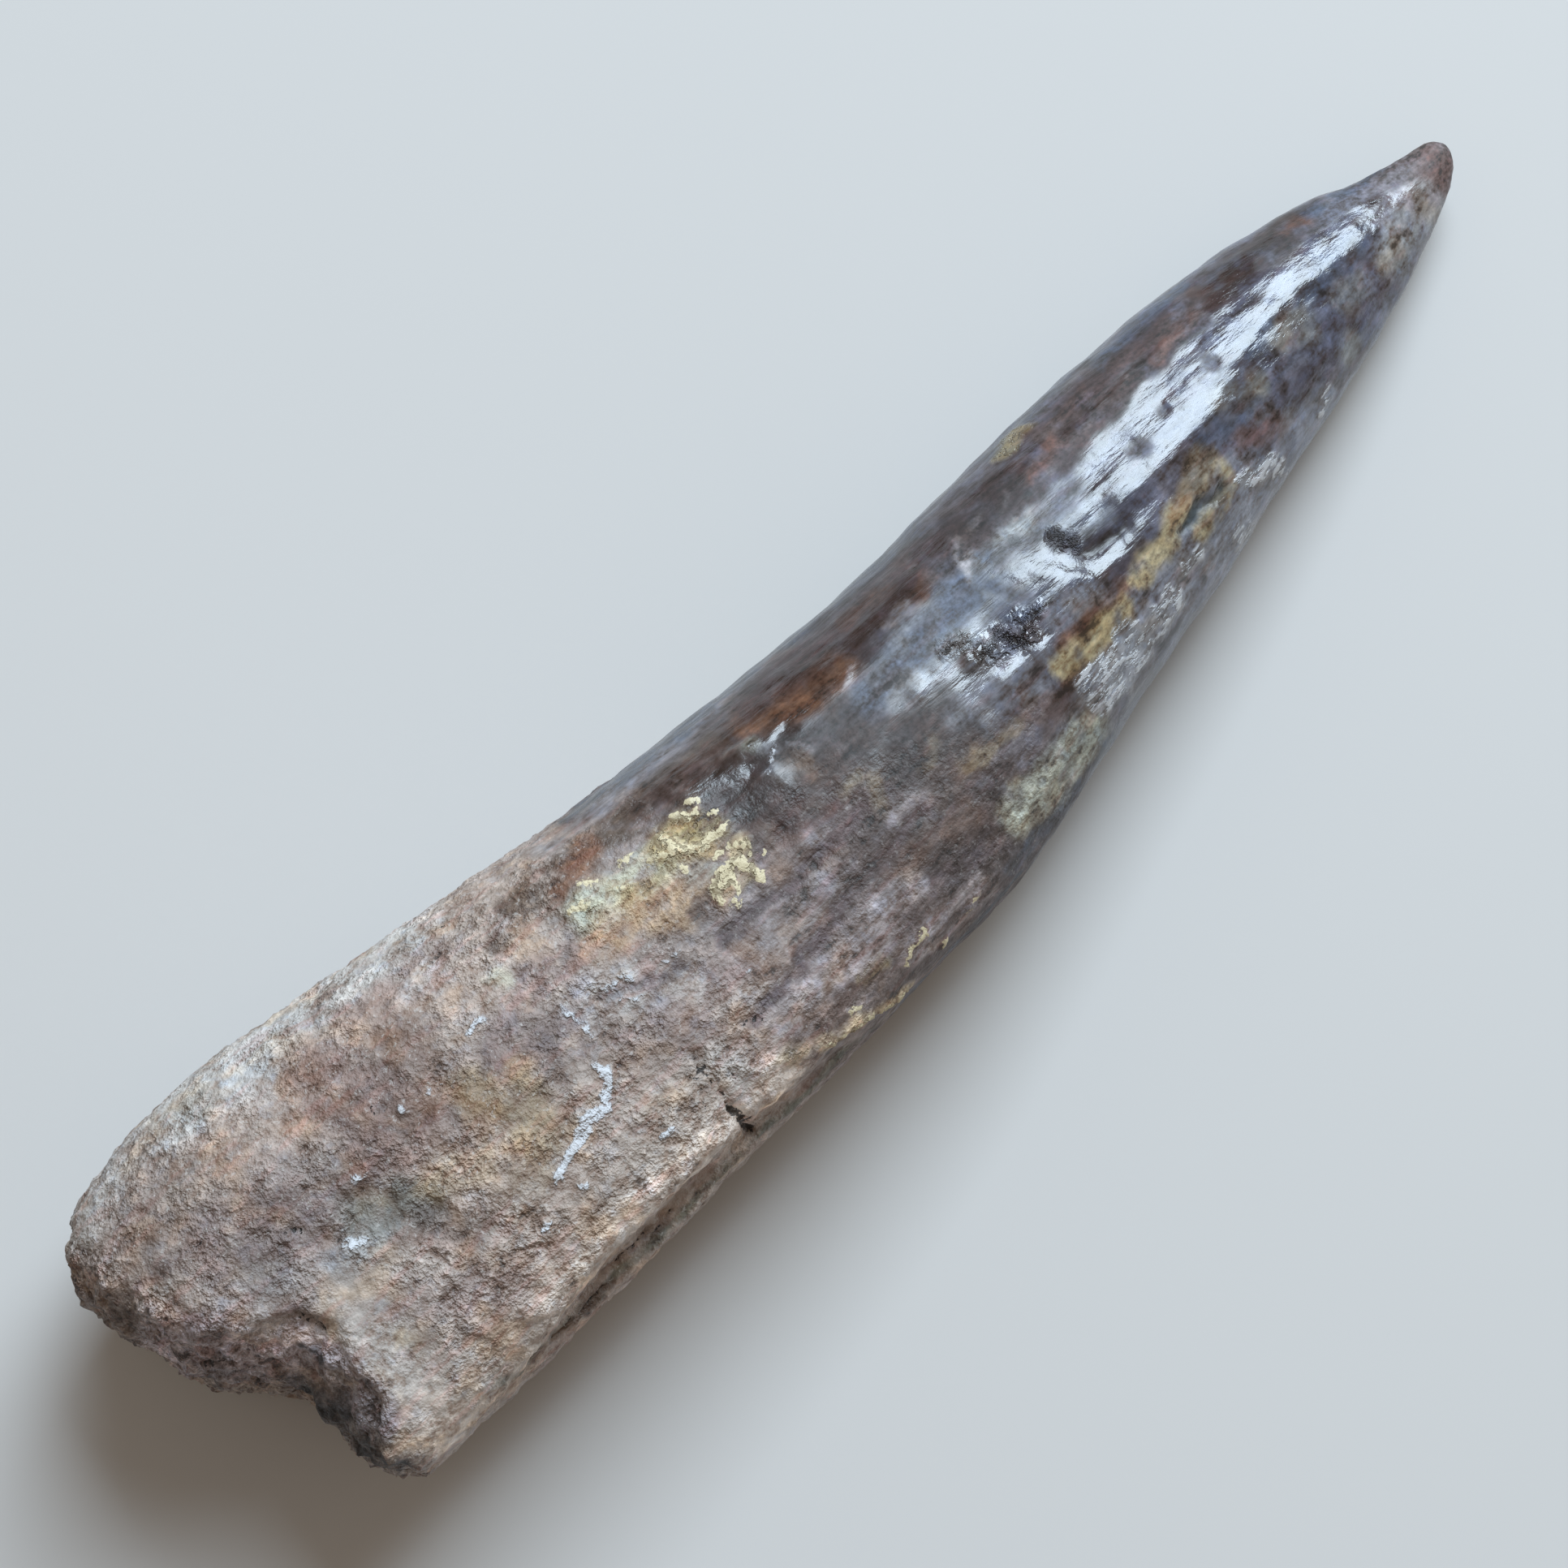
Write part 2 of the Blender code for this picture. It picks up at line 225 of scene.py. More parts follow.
# Stains laid over the ground, in order: finish, colour, strokes (radius, strength, path in mm).
# A few are painted light, shade, sheen or reflection, as their names say.
STAINS = [
    # The grey rind on the far margin of the root is partly painted light: the margin is paler where light
    # falls on it.
    ("grey rind with painted light", (0.43, 0.43, 0.42), [(2.3, 0.85, (11.6, 12.6), (21.2, 11.7), (30, 10.4)),
        (1.6, 0.6, (3, 11.2), (7.8, 12.6))]),
    ("blue-grey bloom", (0.44, 0.46, 0.48), [(2.2, 0.85, (16.5, 10), (20.3, 9.3)),
        (1.2, 0.8, (13.2, -0.8), (15.1, -1.8)), (0.8, 0.7, (10.6, -2.5), (11.3, -3.1)),
        (0.7, 0.6, (32.5, -0.1), (33.4, -1.4)), (1, 0.45, (10.8, 10.6), (11.9, 10.4))]),
    ("lobe brown", (0.235, 0.185, 0.165), [(3, 0.75, (2.3, 7.2), (5.7, 6.3), (7.5, 8.3)),
        (1.8, 0.6, (8.5, 7.3), (10.8, 6.7))]),
    ("pale lobe", (0.36, 0.31, 0.27), [(1.3, 0.8, (3.5, 4), (5.8, 3.4)),
        (1, 0.5, (8.5, 8.1), (9.6, 7.9))]),
    ("shaded rim", (0.13, 0.11, 0.1), [(1.5, 0.85, (1.6, 4.3), (0.9, 6.5))]),
    ("purple grain", (0.25, 0.19, 0.19), [(2.4, 0.75, (3.2, 1.7), (4.2, 0.5), (5, -1.8)),
        (1.6, 0.6, (5.7, 1.4), (6, -3.1))]),
    ("ash", (0.3, 0.29, 0.295), [(1.5, 0.7, (6.9, 2), (8.1, 0.5), (10.1, 0.5)),
        (1.3, 0.8, (6.7, -1.3), (8.2, -1.6)), (0.9, 0.6, (8.6, -8.1), (9.2, -9.5))]),
    ("mauve brown", (0.205, 0.155, 0.15), [(4.2, 0.5, (9.5, 3.4), (20.3, 3.1)),
        (3, 0.42, (25, 0), (36.5, -0.5)), (2, 0.6, (13.2, 2.4), (20.3, 1.6)),
        (1.6, 0.65, (24.4, -0.3), (29.8, -0.4)), (1.6, 0.5, (9.5, -2), (12.7, -3)),
        (1.6, 0.85, (25, -1.3), (27.9, 0.4), (29.8, 1.4)), (1.5, 0.75, (31.7, 2.8), (36.9, 2.2)),
        (1.4, 0.6, (21.2, 3.3), (22.6, 1.8)), (1.6, 0.6, (14.6, -5.8), (17, -8.2), (19.3, -9.1)),
        (2.6, 0.8, (8.5, 3.7), (11.8, 3), (13.2, 1.4)), (1.8, 0.6, (16.5, 3), (18.4, 1.8)),
        (1.8, 0.85, (29.6, 0.2), (31.7, -0.9)), (2, 0.75, (34.5, -4.2), (38.4, -5.1), (41.3, -5.7))]),
    ("tan", (0.4, 0.325, 0.28), [(2.2, 0.7, (10.8, 8.3), (15.6, 7.9), (17.5, 6.3)),
        (1.8, 0.8, (25.1, 6.3), (28.4, 5.7), (30.3, 4.9)), (1.4, 0.5, (30.9, 9.9), (34.8, 9.3))]),
    ("red brown", (0.225, 0.155, 0.135), [(1.5, 0.6, (20.3, 5.1), (23.6, 4.1), (25.4, 5.3)),
        (1.3, 0.5, (25.4, -0.7), (28.4, 0.2)), (1.2, 0.5, (17.1, -2.6), (18.8, -4.9)),
        (2.6, 0.95, (19.5, 7.6), (20.3, 4.7), (21.4, 2.3), (19.3, 1.2)),
        (1, 0.6, (7.1, 5.3), (8.2, 3.8)), (0.9, 0.75, (22.7, 8.8), (27, 8.5), (29.9, 8.2)),
        (1.3, 0.6, (23.6, 4.7), (24.6, 6.7))]),
    ("lilac white", (0.47, 0.46, 0.475), [(0.4, 0.95, (51.4, 2.1), (52, 2.9), (52.9, 3.3)),
        (0.7, 0.85, (27, 7.6), (28.9, 7.5)), (0.6, 0.9, (33.4, 6.3), (33.6, 6.4)),
        (0.35, 0.8, (53.7, 2.3), (54, 1.3))]),
    ("brown spot", (0.12, 0.09, 0.075), [(0.75, 0.95, (32.5, 6), (32.7, 6.1)),
        (0.8, 0.7, (15.9, -9.6), (16.4, -10.2)), (0.8, 0.55, (21.1, 2.1), (21.4, 1.8))]),
    ("damp green", (0.185, 0.19, 0.175), [(1.7, 0.85, (15.8, -0.5), (19, -2)),
        (1, 0.4, (12.4, 11.9), (13.6, 11.5))]),
    ("hollow", (0.12, 0.095, 0.085), [(1.1, 0.8, (18.9, -3.2), (19.5, -4.5)),
        (1, 0.5, (19.8, -5.5), (21.5, -6.2))]),
    ("smooth tan", (0.37, 0.345, 0.325), [(2.2, 0.9, (11.6, -3.7), (11.8, -7.7), (10.8, -11.7)),
        (1.2, 0.6, (12.7, -2.6), (13.7, -3.9))]),
    ("ochre", (0.38, 0.29, 0.175), [(1.5, 0.65, (25.6, 0.4), (25.8, -4)),
        (1, 0.65, (28.2, -0.8), (27.1, -4)), (1.2, 0.5, (20.3, -1.9), (23.1, -3)),
        (0.6, 0.5, (12.7, -7.1), (12.9, -7.7))]),
    ("olive brown", (0.24, 0.185, 0.12), [(1.5, 0.6, (27.2, -2.7), (27.5, -4.6)),
        (1, 0.5, (23.1, -5.3), (25, -5.9))]),
    ("bone pale", (0.4, 0.36, 0.325), [(2.4, 0.55, (23.1, -10.5), (28.8, -10), (33.5, -9.5)),
        (1.5, 0.3, (14.6, -4.3), (16.5, -6)), (1.1, 0.6, (33.2, -7.6), (34.1, -10)),
        (1.2, 0.5, (20.3, -7.2), (23.1, -7)), (1, 0.5, (39.7, -6.5), (41.6, -7))]),
    # Painted light: the near lip of the root is made paler so that it looks lit, though it faces away from
    # the lamp.
    ("painted light on the underlip", (0.62, 0.56, 0.51), [
        (1.7, 0.9, (9.8, -12.3), (19.3, -12.1), (28.8, -11.8), (39.4, -11.5)),
        (1.2, 0.6, (19.3, -11.6), (21.2, -11.8))]),
    ("mid brown", (0.255, 0.2, 0.165), [(1.5, 0.6, (35.2, 5.6), (38, 5.1)),
        (1.3, 0.6, (31.3, 7.8), (36.7, 7.8)), (0.9, 0.5, (23.1, -9.1), (26.9, -8.7)),
        (1.3, 0.5, (16.7, -11.4), (18.3, -11.6)), (1.1, 0.5, (13.8, -9.6), (14, -8.2)),
        (1.5, 0.55, (32.1, -4.4), (34.5, -5.5))]),
    ("brown band", (0.1, 0.066, 0.045), [(0.95, 0.95, (34.7, 7), (39.6, 6.8), (44.5, 6.3), (50.4, 5.9)),
        (0.8, 0.6, (44.9, 4.8), (47.8, 4.3))]),
    ("rust", (0.215, 0.095, 0.045), [(0.5, 0.7, (61.5, 6.2), (64.5, 5.8)),
        (0.45, 0.6, (83.1, 6.7), (87.2, 6.3)), (0.5, 0.7, (64.7, 4), (67.3, 4.5)),
        (0.9, 0.9, (37.6, 6.1), (40.5, 6.4)), (1.5, 0.85, (53.3, 5.5), (55.8, 4.4), (58.5, 4.4)),
        (0.6, 0.75, (70, -4.2), (75.2, -4)), (0.5, 0.7, (78.9, 6.4), (85.2, 6.5), (90.4, 6.1)),
        (0.6, 0.7, (73.5, 5.2), (75.6, 5.3)), (0.5, 0.6, (68.4, -5.9), (69.1, -5.6))]),
    ("celadon crust", (0.5, 0.51, 0.405), [(1.5, 1, (37.9, 3.4), (40.4, 3), (42.6, 2.9)),
        (1.2, 0.6, (37.8, 3), (39, 2.5)), (0.6, 0.6, (31.1, 4.6), (31.3, 3.7)),
        (0.5, 0.6, (50.5, 4.8), (52, 4.2))]),
    ("lavender", (0.36, 0.37, 0.43), [(0.7, 0.85, (41.3, 2.9), (42.2, 3.1)),
        (0.9, 0.5, (34.6, 0.3), (36.7, -2.8))]),
    ("olive gold", (0.4, 0.32, 0.14), [(1.3, 0.9, (43.6, 3.4), (45.1, 2.7), (46.1, 2.1)),
        (0.7, 0.6, (40.4, 2.5), (42.9, 2.3)), (0.5, 0.8, (76, 7.6), (78.5, 7.5)),
        (0.5, 0.55, (47, -10.3), (48.4, -10.5))]),
    ("peach", (0.44, 0.31, 0.19), [(1.4, 0.9, (38.3, 1.7), (40.9, 0.3), (43.6, -0.2)),
        (0.7, 0.5, (36.1, 1.4), (37.1, 1.1))]),
    ("cream", (0.64, 0.53, 0.34), [(0.6, 0.85, (44.3, -0.8), (46.2, -0.9), (47.4, 0.3)),
        (0.6, 0.8, (43.6, 3.5), (44.7, 2.1)), (0.6, 0.6, (42.5, -11.5), (45.4, -12.4), (48.5, -14.3)),
        (0.5, 0.6, (40.3, -10.9), (42.3, -11.3))]),
    ("stone grey", (0.3, 0.3, 0.27), [(0.6, 0.7, (68.8, 3), (70.9, 3.5), (73.7, 3)),
        (1, 0.8, (64.2, 0.6), (65.8, -0.3)), (0.7, 0.85, (43.9, 0.6), (44.6, 0.4))]),
    ("white bloom", (0.5, 0.49, 0.48), [(1, 0.85, (35.3, -0.4), (36.7, -0.9), (36.1, -2.1)),
        (1, 0.5, (37.2, -8.2), (37.6, -9.7)), (0.8, 0.5, (38.6, -3.4), (39.1, -4.3))]),
    ("umber", (0.092, 0.056, 0.045), [(1.7, 1, (49.5, 4.1), (49.5, 1.3), (50.1, -0.2)),
        (1.6, 0.85, (53.4, -0.1), (56.8, -0.4)), (1.5, 0.85, (59.1, -3.9), (60.7, -5.1)),
        (1.1, 0.7, (51, -6.6), (54, -7.1)), (1.1, 0.7, (46.4, 5.6), (49.3, 5.2)),
        (0.7, 0.75, (40.8, -10.5), (48.2, -10.1)), (1, 0.6, (57, -7.9), (59.5, -8.5)),
        (1.7, 1, (58, -1.8), (61.3, -2.3))]),
    ("grey mauve", (0.27, 0.245, 0.255), [(0.8, 0.7, (50.2, -11.3), (56.3, -11.4)),
        (0.8, 0.7, (49.1, -8.1), (53, -8.5)), (0.7, 0.6, (50.7, -2.4), (53.6, -2.6)),
        (1.8, 0.6, (45.2, -5.5), (48.1, -4.9)), (1.2, 0.75, (41.6, -8.9), (45.2, -8.9), (49.6, -9.3)),
        (0.6, 0.7, (42.7, 8.4), (50.7, 8.1), (56.9, 8.2)), (0.8, 0.5, (55, -4.9), (56.5, -5.5)),
        (0.8, 0.6, (42.7, -1.8), (45.2, -2.4))]),
    ("dark seam", (0.085, 0.062, 0.066), [(0.55, 0.95, (42.3, -3.2), (47.1, -3.5), (53.4, -3.5)),
        (0.55, 0.95, (40.3, -7.8), (44.2, -7.6), (47.6, -6.9), (51, -6.1), (56.4, -5.9)),
        (0.5, 0.7, (42.3, -0.7), (48.5, -1.2), (51.1, -0.6)),
        (0.5, 0.7, (34.8, -0.5), (36.8, -1.7), (39.4, -2.6)), (0.5, 0.6, (48.2, 2.8), (54.2, 3.2)),
        (0.6, 0.6, (54.1, -9.3), (59.1, -10))]),
    # Painted shade and painted reflection: the dark blue-grey along the turning edges of the neck and
    # crown.
    ("painted edge shade and reflection", (0.055, 0.07, 0.095), [
        (0.75, 0.85, (40.8, 9.4), (48.7, 8.6), (59.1, 8.4), (69.1, 8)),
        (0.6, 0.85, (48.7, -16.9), (58.6, -13.1)), (0.45, 0.6, (58.4, -11.8), (68.8, -10)),
        (0.5, 0.6, (75.3, 8.4), (85.7, 8.3))]),
    # Painted shade: the olive of the ledge on the near side is its shade with a green cast of reflected
    # light.
    ("painted ledge shade with green bounce", (0.125, 0.132, 0.105), [
        (0.55, 0.9, (14.9, -13.2), (23, -17.7), (34.7, -17), (44.6, -15.9)),
        (0.4, 0.6, (44.6, -15.9), (47.6, -16.6))]),
    ("ledge red", (0.14, 0.085, 0.06), [(0.5, 0.75, (17.7, -15.2), (23.6, -17.9)),
        (0.4, 0.4, (26.9, -17.1), (29.8, -16.3))]),
    ("blister brown", (0.25, 0.175, 0.13), [(1.1, 0.75, (52.5, 1.6), (53, 1.4))]),
    ("old ivory", (0.26, 0.21, 0.135), [(0.6, 0.7, (54.6, -3.7), (55.6, -2.6)),
        (0.5, 0.6, (60.3, -5.5), (64.3, -5.8)), (0.5, 0.5, (53.6, -1.7), (55, -1.5)),
        (0.5, 0.45, (58.5, -3.9), (59.5, -3.1))]),
    # Painted sheen: the blue-grey haze on the crown's flank and the paler grey patches beside it stand in
    # for the lamp's soft reflection.
    ("painted enamel sheen", (0.135, 0.155, 0.2), [(1.5, 0.85, (59.7, 1.4), (64.1, 2), (70.1, 2.1)),
        (1, 0.6, (68.5, 0), (70.5, -1.4)), (0.9, 0.6, (74.6, 1.7), (77.3, 0.5))]),
    ("painted pale sheen", (0.27, 0.27, 0.28), [(0.9, 0.7, (64.2, 0.2), (66.6, -0.6)),
        (1, 0.7, (60.2, 0.1), (63.3, -0.2)), (0.7, 0.6, (62.6, 3.2), (64.7, 3.7)),
        (0.9, 0.6, (64.5, -0.1), (66.3, -1.9))]),
    ("pale green facet", (0.33, 0.34, 0.28), [(1.1, 0.9, (60.6, -9.8), (64.3, -9.3), (68.4, -8.6)),
        (0.8, 0.7, (60.8, -10.1), (62.1, -8.9))]),
    ("ash flank", (0.27, 0.262, 0.275), [(0.9, 0.6, (70.6, -2.5), (73.7, -3.1)),
        (1.2, 0.9, (103.4, 0.3), (108.1, 1.3)), (1.6, 0.8, (74.4, -6.3), (80.7, -5.6), (87, -4.2)),
        (1.1, 0.7, (84.7, -3.3), (91.4, -3.5), (97, -2.8)), (1.2, 0.6, (63.9, -4.1), (68, -4.5)),
        (1, 0.6, (61.9, -2.9), (67, -3.3)), (1, 0.5, (86.7, -1.9), (93.2, -1))]),
    # Painted glints: pale streaks along the near flank of the crown stand in for reflections.
    ("painted glint streaks", (0.3, 0.29, 0.29), [(1, 1, (69.4, -6.9), (71.3, -6.8), (73.6, -6.5)),
        (0.75, 1, (69.4, -8.2), (71.9, -7.8), (73.9, -7.4)), (0.75, 0.85, (75.5, -7), (77.4, -6.5)),
        (0.65, 0.85, (85.7, -4.1), (88.5, -4.6)), (0.35, 0.8, (93, -3.9), (94.5, -3.7)),
        (0.5, 0.6, (83.3, -6.5), (84.8, -6.3)), (0.5, 0.5, (79, -5.8), (81.4, -5.6))]),
    ("honey", (0.5, 0.385, 0.2), [(0.75, 0.9, (68.9, -5), (72.2, -5.3), (74.2, -4.8)),
        (0.85, 0.9, (76.5, -4.1), (79.4, -3.8), (82, -2.7), (84.8, -1.6)),
        (0.7, 0.85, (81.7, -4.7), (84.9, -3.8), (85.2, -1.9))]),
    ("fissure", (0.045, 0.06, 0.065), [(0.4, 0.95, (80.7, -4), (82.4, -3.4), (84.3, -3.6))]),
    ("oxblood", (0.05, 0.028, 0.03), [(0.9, 0.7, (53.4, 6), (58.5, 6.2)),
        (0.8, 0.7, (64.4, 5.4), (67.5, 5.8)), (0.8, 0.6, (83.1, 6.9), (89.5, 6.8)),
        (0.7, 0.6, (74.7, -3.2), (77.6, -3)), (1.5, 0.9, (71, 6.1), (74.7, 5.1)),
        (0.6, 0.6, (94.5, 6.8), (97.2, 6.6)), (1, 0.6, (91.1, -1.9), (97.1, -3.1)),
        (0.8, 0.5, (97.8, -1.3), (102.5, -1.4))]),
    ("flank crumbs", (0.4, 0.355, 0.34), [(0.22, 0.8, (68.3, 2.4), (68.9, 4.1), (69.8, 5.4)),
        (0.28, 0.8, (69.2, 3.5), (70.1, 4)), (0.28, 0.8, (71.1, 4.8), (71.9, 5.5)),
        (0.26, 0.8, (73.4, 4.6), (74.1, 5.1)), (0.28, 0.8, (78.3, 6.3), (79.4, 5.8)),
        (0.28, 0.8, (80.2, 4.5), (81.1, 4.8)), (0.3, 0.9, (82.8, 5.2), (83.6, 4.6), (84.7, 5)),
        (0.3, 0.8, (62.7, 4.4), (64.5, 4.3)), (0.18, 0.5, (58.6, 3.1), (59.3, 3.8)),
        (0.24, 0.6, (87.2, 4.9), (88.8, 5.2)), (0.24, 0.6, (77.1, 4.4), (77.9, 4.1)),
        (0.25, 0.6, (66.7, 5.6), (67.4, 5.3))]),
    ("warm pink", (0.22, 0.135, 0.105), [(1, 0.85, (82.9, 4.9), (84.7, 4.7)),
        (0.8, 0.7, (79.5, 4.7), (81, 4.2)), (0.6, 0.6, (78.2, 6.3), (80.9, 6)),
        (0.5, 0.5, (69.2, 4.8), (70, 4.6))]),
    ("enamel umber", (0.055, 0.029, 0.026), [(1.5, 1, (91.5, 6.3), (95.9, 6.1), (100.4, 5.7)),
        (1.3, 0.8, (69.6, 6.1), (74.7, 6.3)),
        (1.7, 0.8, (54.4, 6.4), (60.4, 5.8), (70.5, 5.9), (80.9, 6.1), (91.5, 6), (100.3, 5.4)),
        (0.8, 0.9, (70.3, 4.1), (75.4, 4.1), (80.6, 4.3), (89.1, 4.6)),
        (1.3, 0.9, (48.6, 3.3), (49.6, 1.3), (50.5, -0.2)),
        (1.6, 0.95, (49, 3.1), (50.2, 1.5), (52.1, -1.2)), (1.2, 0.6, (44.4, 5.9), (50.3, 5)),
        (1, 0.5, (52, -3), (56, -3.5)), (0.9, 0.5, (63.9, -5.3), (67.1, -6.4))]),
    ("enamel ink", (0.05, 0.048, 0.066), [(1.4, 0.7, (82.4, -1.7), (91, -0.2), (101, 0.8)),
        (0.9, 0.6, (76.2, -0.7), (80.3, -0.7)), (1, 0.5, (88, -3.2), (97.9, -2))]),
    ("russet", (0.17, 0.07, 0.042), [(0.5, 0.6, (76, 4.8), (78.7, 5.5)),
        (0.5, 0.5, (87, 5.1), (91.4, 5.5)), (0.6, 0.6, (99.7, 5.9), (101.1, 5.6)),
        (0.7, 0.5, (87.4, -2.3), (89.8, -3.5)), (1.1, 0.7, (107.1, 1.3), (110.3, 2.5))]),
    ("dusk blue", (0.06, 0.08, 0.115), [(0.5, 0.7, (84.3, 7.5), (92.5, 7.7)),
        (0.8, 0.6, (92.1, 1.5), (97.6, 1.9), (103.3, 1.9)), (0.6, 0.7, (101.6, 5.8), (107.1, 4.8)),
        (0.9, 0.5, (85.6, -0.7), (89.9, -1.2))]),
    ("grey spot", (0.2, 0.19, 0.172), [(1.1, 0.7, (93.8, 0.8), (95.6, 0.5)),
        (1, 0.6, (98.8, 0.1), (100.2, -0.1)), (1.2, 0.8, (103, -0.1), (108.1, 1.1)),
        (1, 0.7, (88.1, 0.2), (90.5, -0.1)), (0.95, 0.95, (97.1, -2.4), (97.3, -2.3)),
        (0.6, 0.9, (90.3, -0.6), (90.7, -0.9))]),
]
# Chalky white veins and specks.
CHALK = [
    (0.5, 1, (25.5, -6.7), (26.9, -6.3), (28, -5.9), (29, -5.4), (30.3, -5.7)),
    (0.4, 1, (30.3, -5.7), (31.3, -4.9), (31.9, -4), (31.9, -3.3)),
    (0.35, 0.6, (32.5, 0.4), (32.7, -0.7), (33, -1.7)),
    (0.5, 0.6, (27.6, 3.2), (28.5, 3.1), (28.8, 2.7)),
    (0.5, 0.65, (35.3, -0.5), (36.1, -0.4), (36.7, -1.1)), (0.35, 0.6, (35.5, -2.1), (36.5, -2.4)),
    (0.3, 0.65, (21.6, 2.6), (21.9, 2.4)), (0.35, 0.9, (22.9, -8.5), (23.2, -8.7)),
    (0.3, 0.8, (26.1, -8), (26.3, -8.1)), (0.35, 0.5, (39, -1.7), (39.9, -2)),
    (0.4, 0.6, (14, -0.5), (15, -1.6)), (0.35, 0.8, (31.5, -9.1), (32, -9.4)),
    (0.4, 0.5, (16.9, 1.4), (17.5, 1.1)), (0.35, 0.5, (23.7, 2), (24.6, 1.6)),
    (0.24, 0.55, (51.4, 2.1), (52, 3), (52.9, 3.3)), (0.3, 0.7, (42.1, -5.6), (42.5, -5.9)),
]
# Cream crumbs of crust.
LACE = [
    (0.3, 0.9, (45, 4.3), (45.7, 3.3)), (0.28, 0.9, (45.7, 3.3), (46.5, 3.4)),
    (0.3, 0.9, (43.3, 2.1), (43.9, 1.3)), (0.24, 0.8, (46.3, 4.1), (47.1, 3.8)),
    (0.3, 0.9, (42.6, 3.3), (43.3, 2.7)), (0.28, 0.9, (45.4, 1.1), (46.2, 0.5)),
    (0.22, 0.9, (47.2, -0.6), (47.7, -1.1)), (0.26, 0.8, (44.4, -1.6), (44.8, -2.3)),
    (0.26, 0.8, (38, 5.1), (39.3, 4.7)), (0.26, 0.7, (39.7, 3.5), (40.6, 2.9)),
    (0.26, 0.7, (41.1, 4.7), (42.2, 4.5)), (0.45, 1, (43.6, 4.1), (43.7, 3.1), (44.6, 2.2)),
    (0.4, 0.9, (44.5, 2.2), (45.9, 2), (47, 1.8)), (0.5, 1, (44.2, -0.7), (45.2, -0.3), (46.2, -0.7)),
    (0.3, 1, (44.1, -0.8), (43.9, -1.4)), (0.3, 1, (45, -0.7), (45, -1.5)),
    (0.35, 1, (46.2, -0.7), (46.6, -1.8)), (0.35, 1, (46.7, 0.6), (47.5, 0)),
    (0.26, 0.9, (47.1, 3), (47.5, 2.8)), (0.32, 0.9, (42.9, -11.5), (43.9, -12)),
    (0.36, 1, (44.5, -12.2), (46, -13.2)), (0.3, 0.9, (46.6, -13.5), (48.5, -14.3)),
    (0.22, 0.8, (44.9, -11.4), (45.7, -11.5)), (0.4, 0.7, (36.9, 4.2), (37.8, 3.7)),
    (0.35, 0.8, (51.8, -12.7), (52.5, -11.8)), (0.3, 0.7, (49.7, -11.4), (51.6, -10.8)),
    (0.35, 0.7, (54.9, -11.5), (55.5, -11.6)),
]
# Open cracks.
CRACKS = [
    (0.4, 1, (35.7, -10.6), (35.9, -11.3), (35.7, -13), (36, -16)),
    (0.35, 0.9, (35.9, -11.3), (36.4, -12.6)),
    (0.22, 0.6, (35.7, -10.6), (36.2, -9.3), (35.9, -8), (36.3, -7)),
    (0.22, 0.7, (35.2, -7.7), (35.9, -8), (36.6, -7.8)), (0.22, 0.6, (36.8, -8.9), (37.4, -9.6)),
    (0.22, 0.6, (34.8, -9.6), (35.4, -8.6)), (0.22, 0.7, (18.8, -15.6), (21.1, -16.7), (23.6, -17.7)),
    (0.22, 0.6, (23, -16.3), (25, -16.6), (27.5, -16.2)), (0.2, 0.6, (26.9, -17.1), (29.2, -16.3)),
    (0.22, 0.7, (29, -13.5), (30.3, -11.8)), (0.2, 0.6, (11.7, 11.8), (12.8, 11.6)),
    (0.2, 0.5, (30.5, 9.8), (30.9, 9.3)), (0.25, 0.5, (6.4, 5.6), (7.7, 4.9)),
    (0.35, 0.7, (11.8, 2), (12.8, 1.4)), (0.3, 0.6, (20.4, 3.7), (20.9, 3.3)),
    (0.2, 0.6, (2.9, 0), (4.3, -1.1)), (0.3, 0.5, (9, -2), (9.5, -3.6)),
    (0.35, 0.6, (39.9, -7.6), (40.9, -8.1)),
]
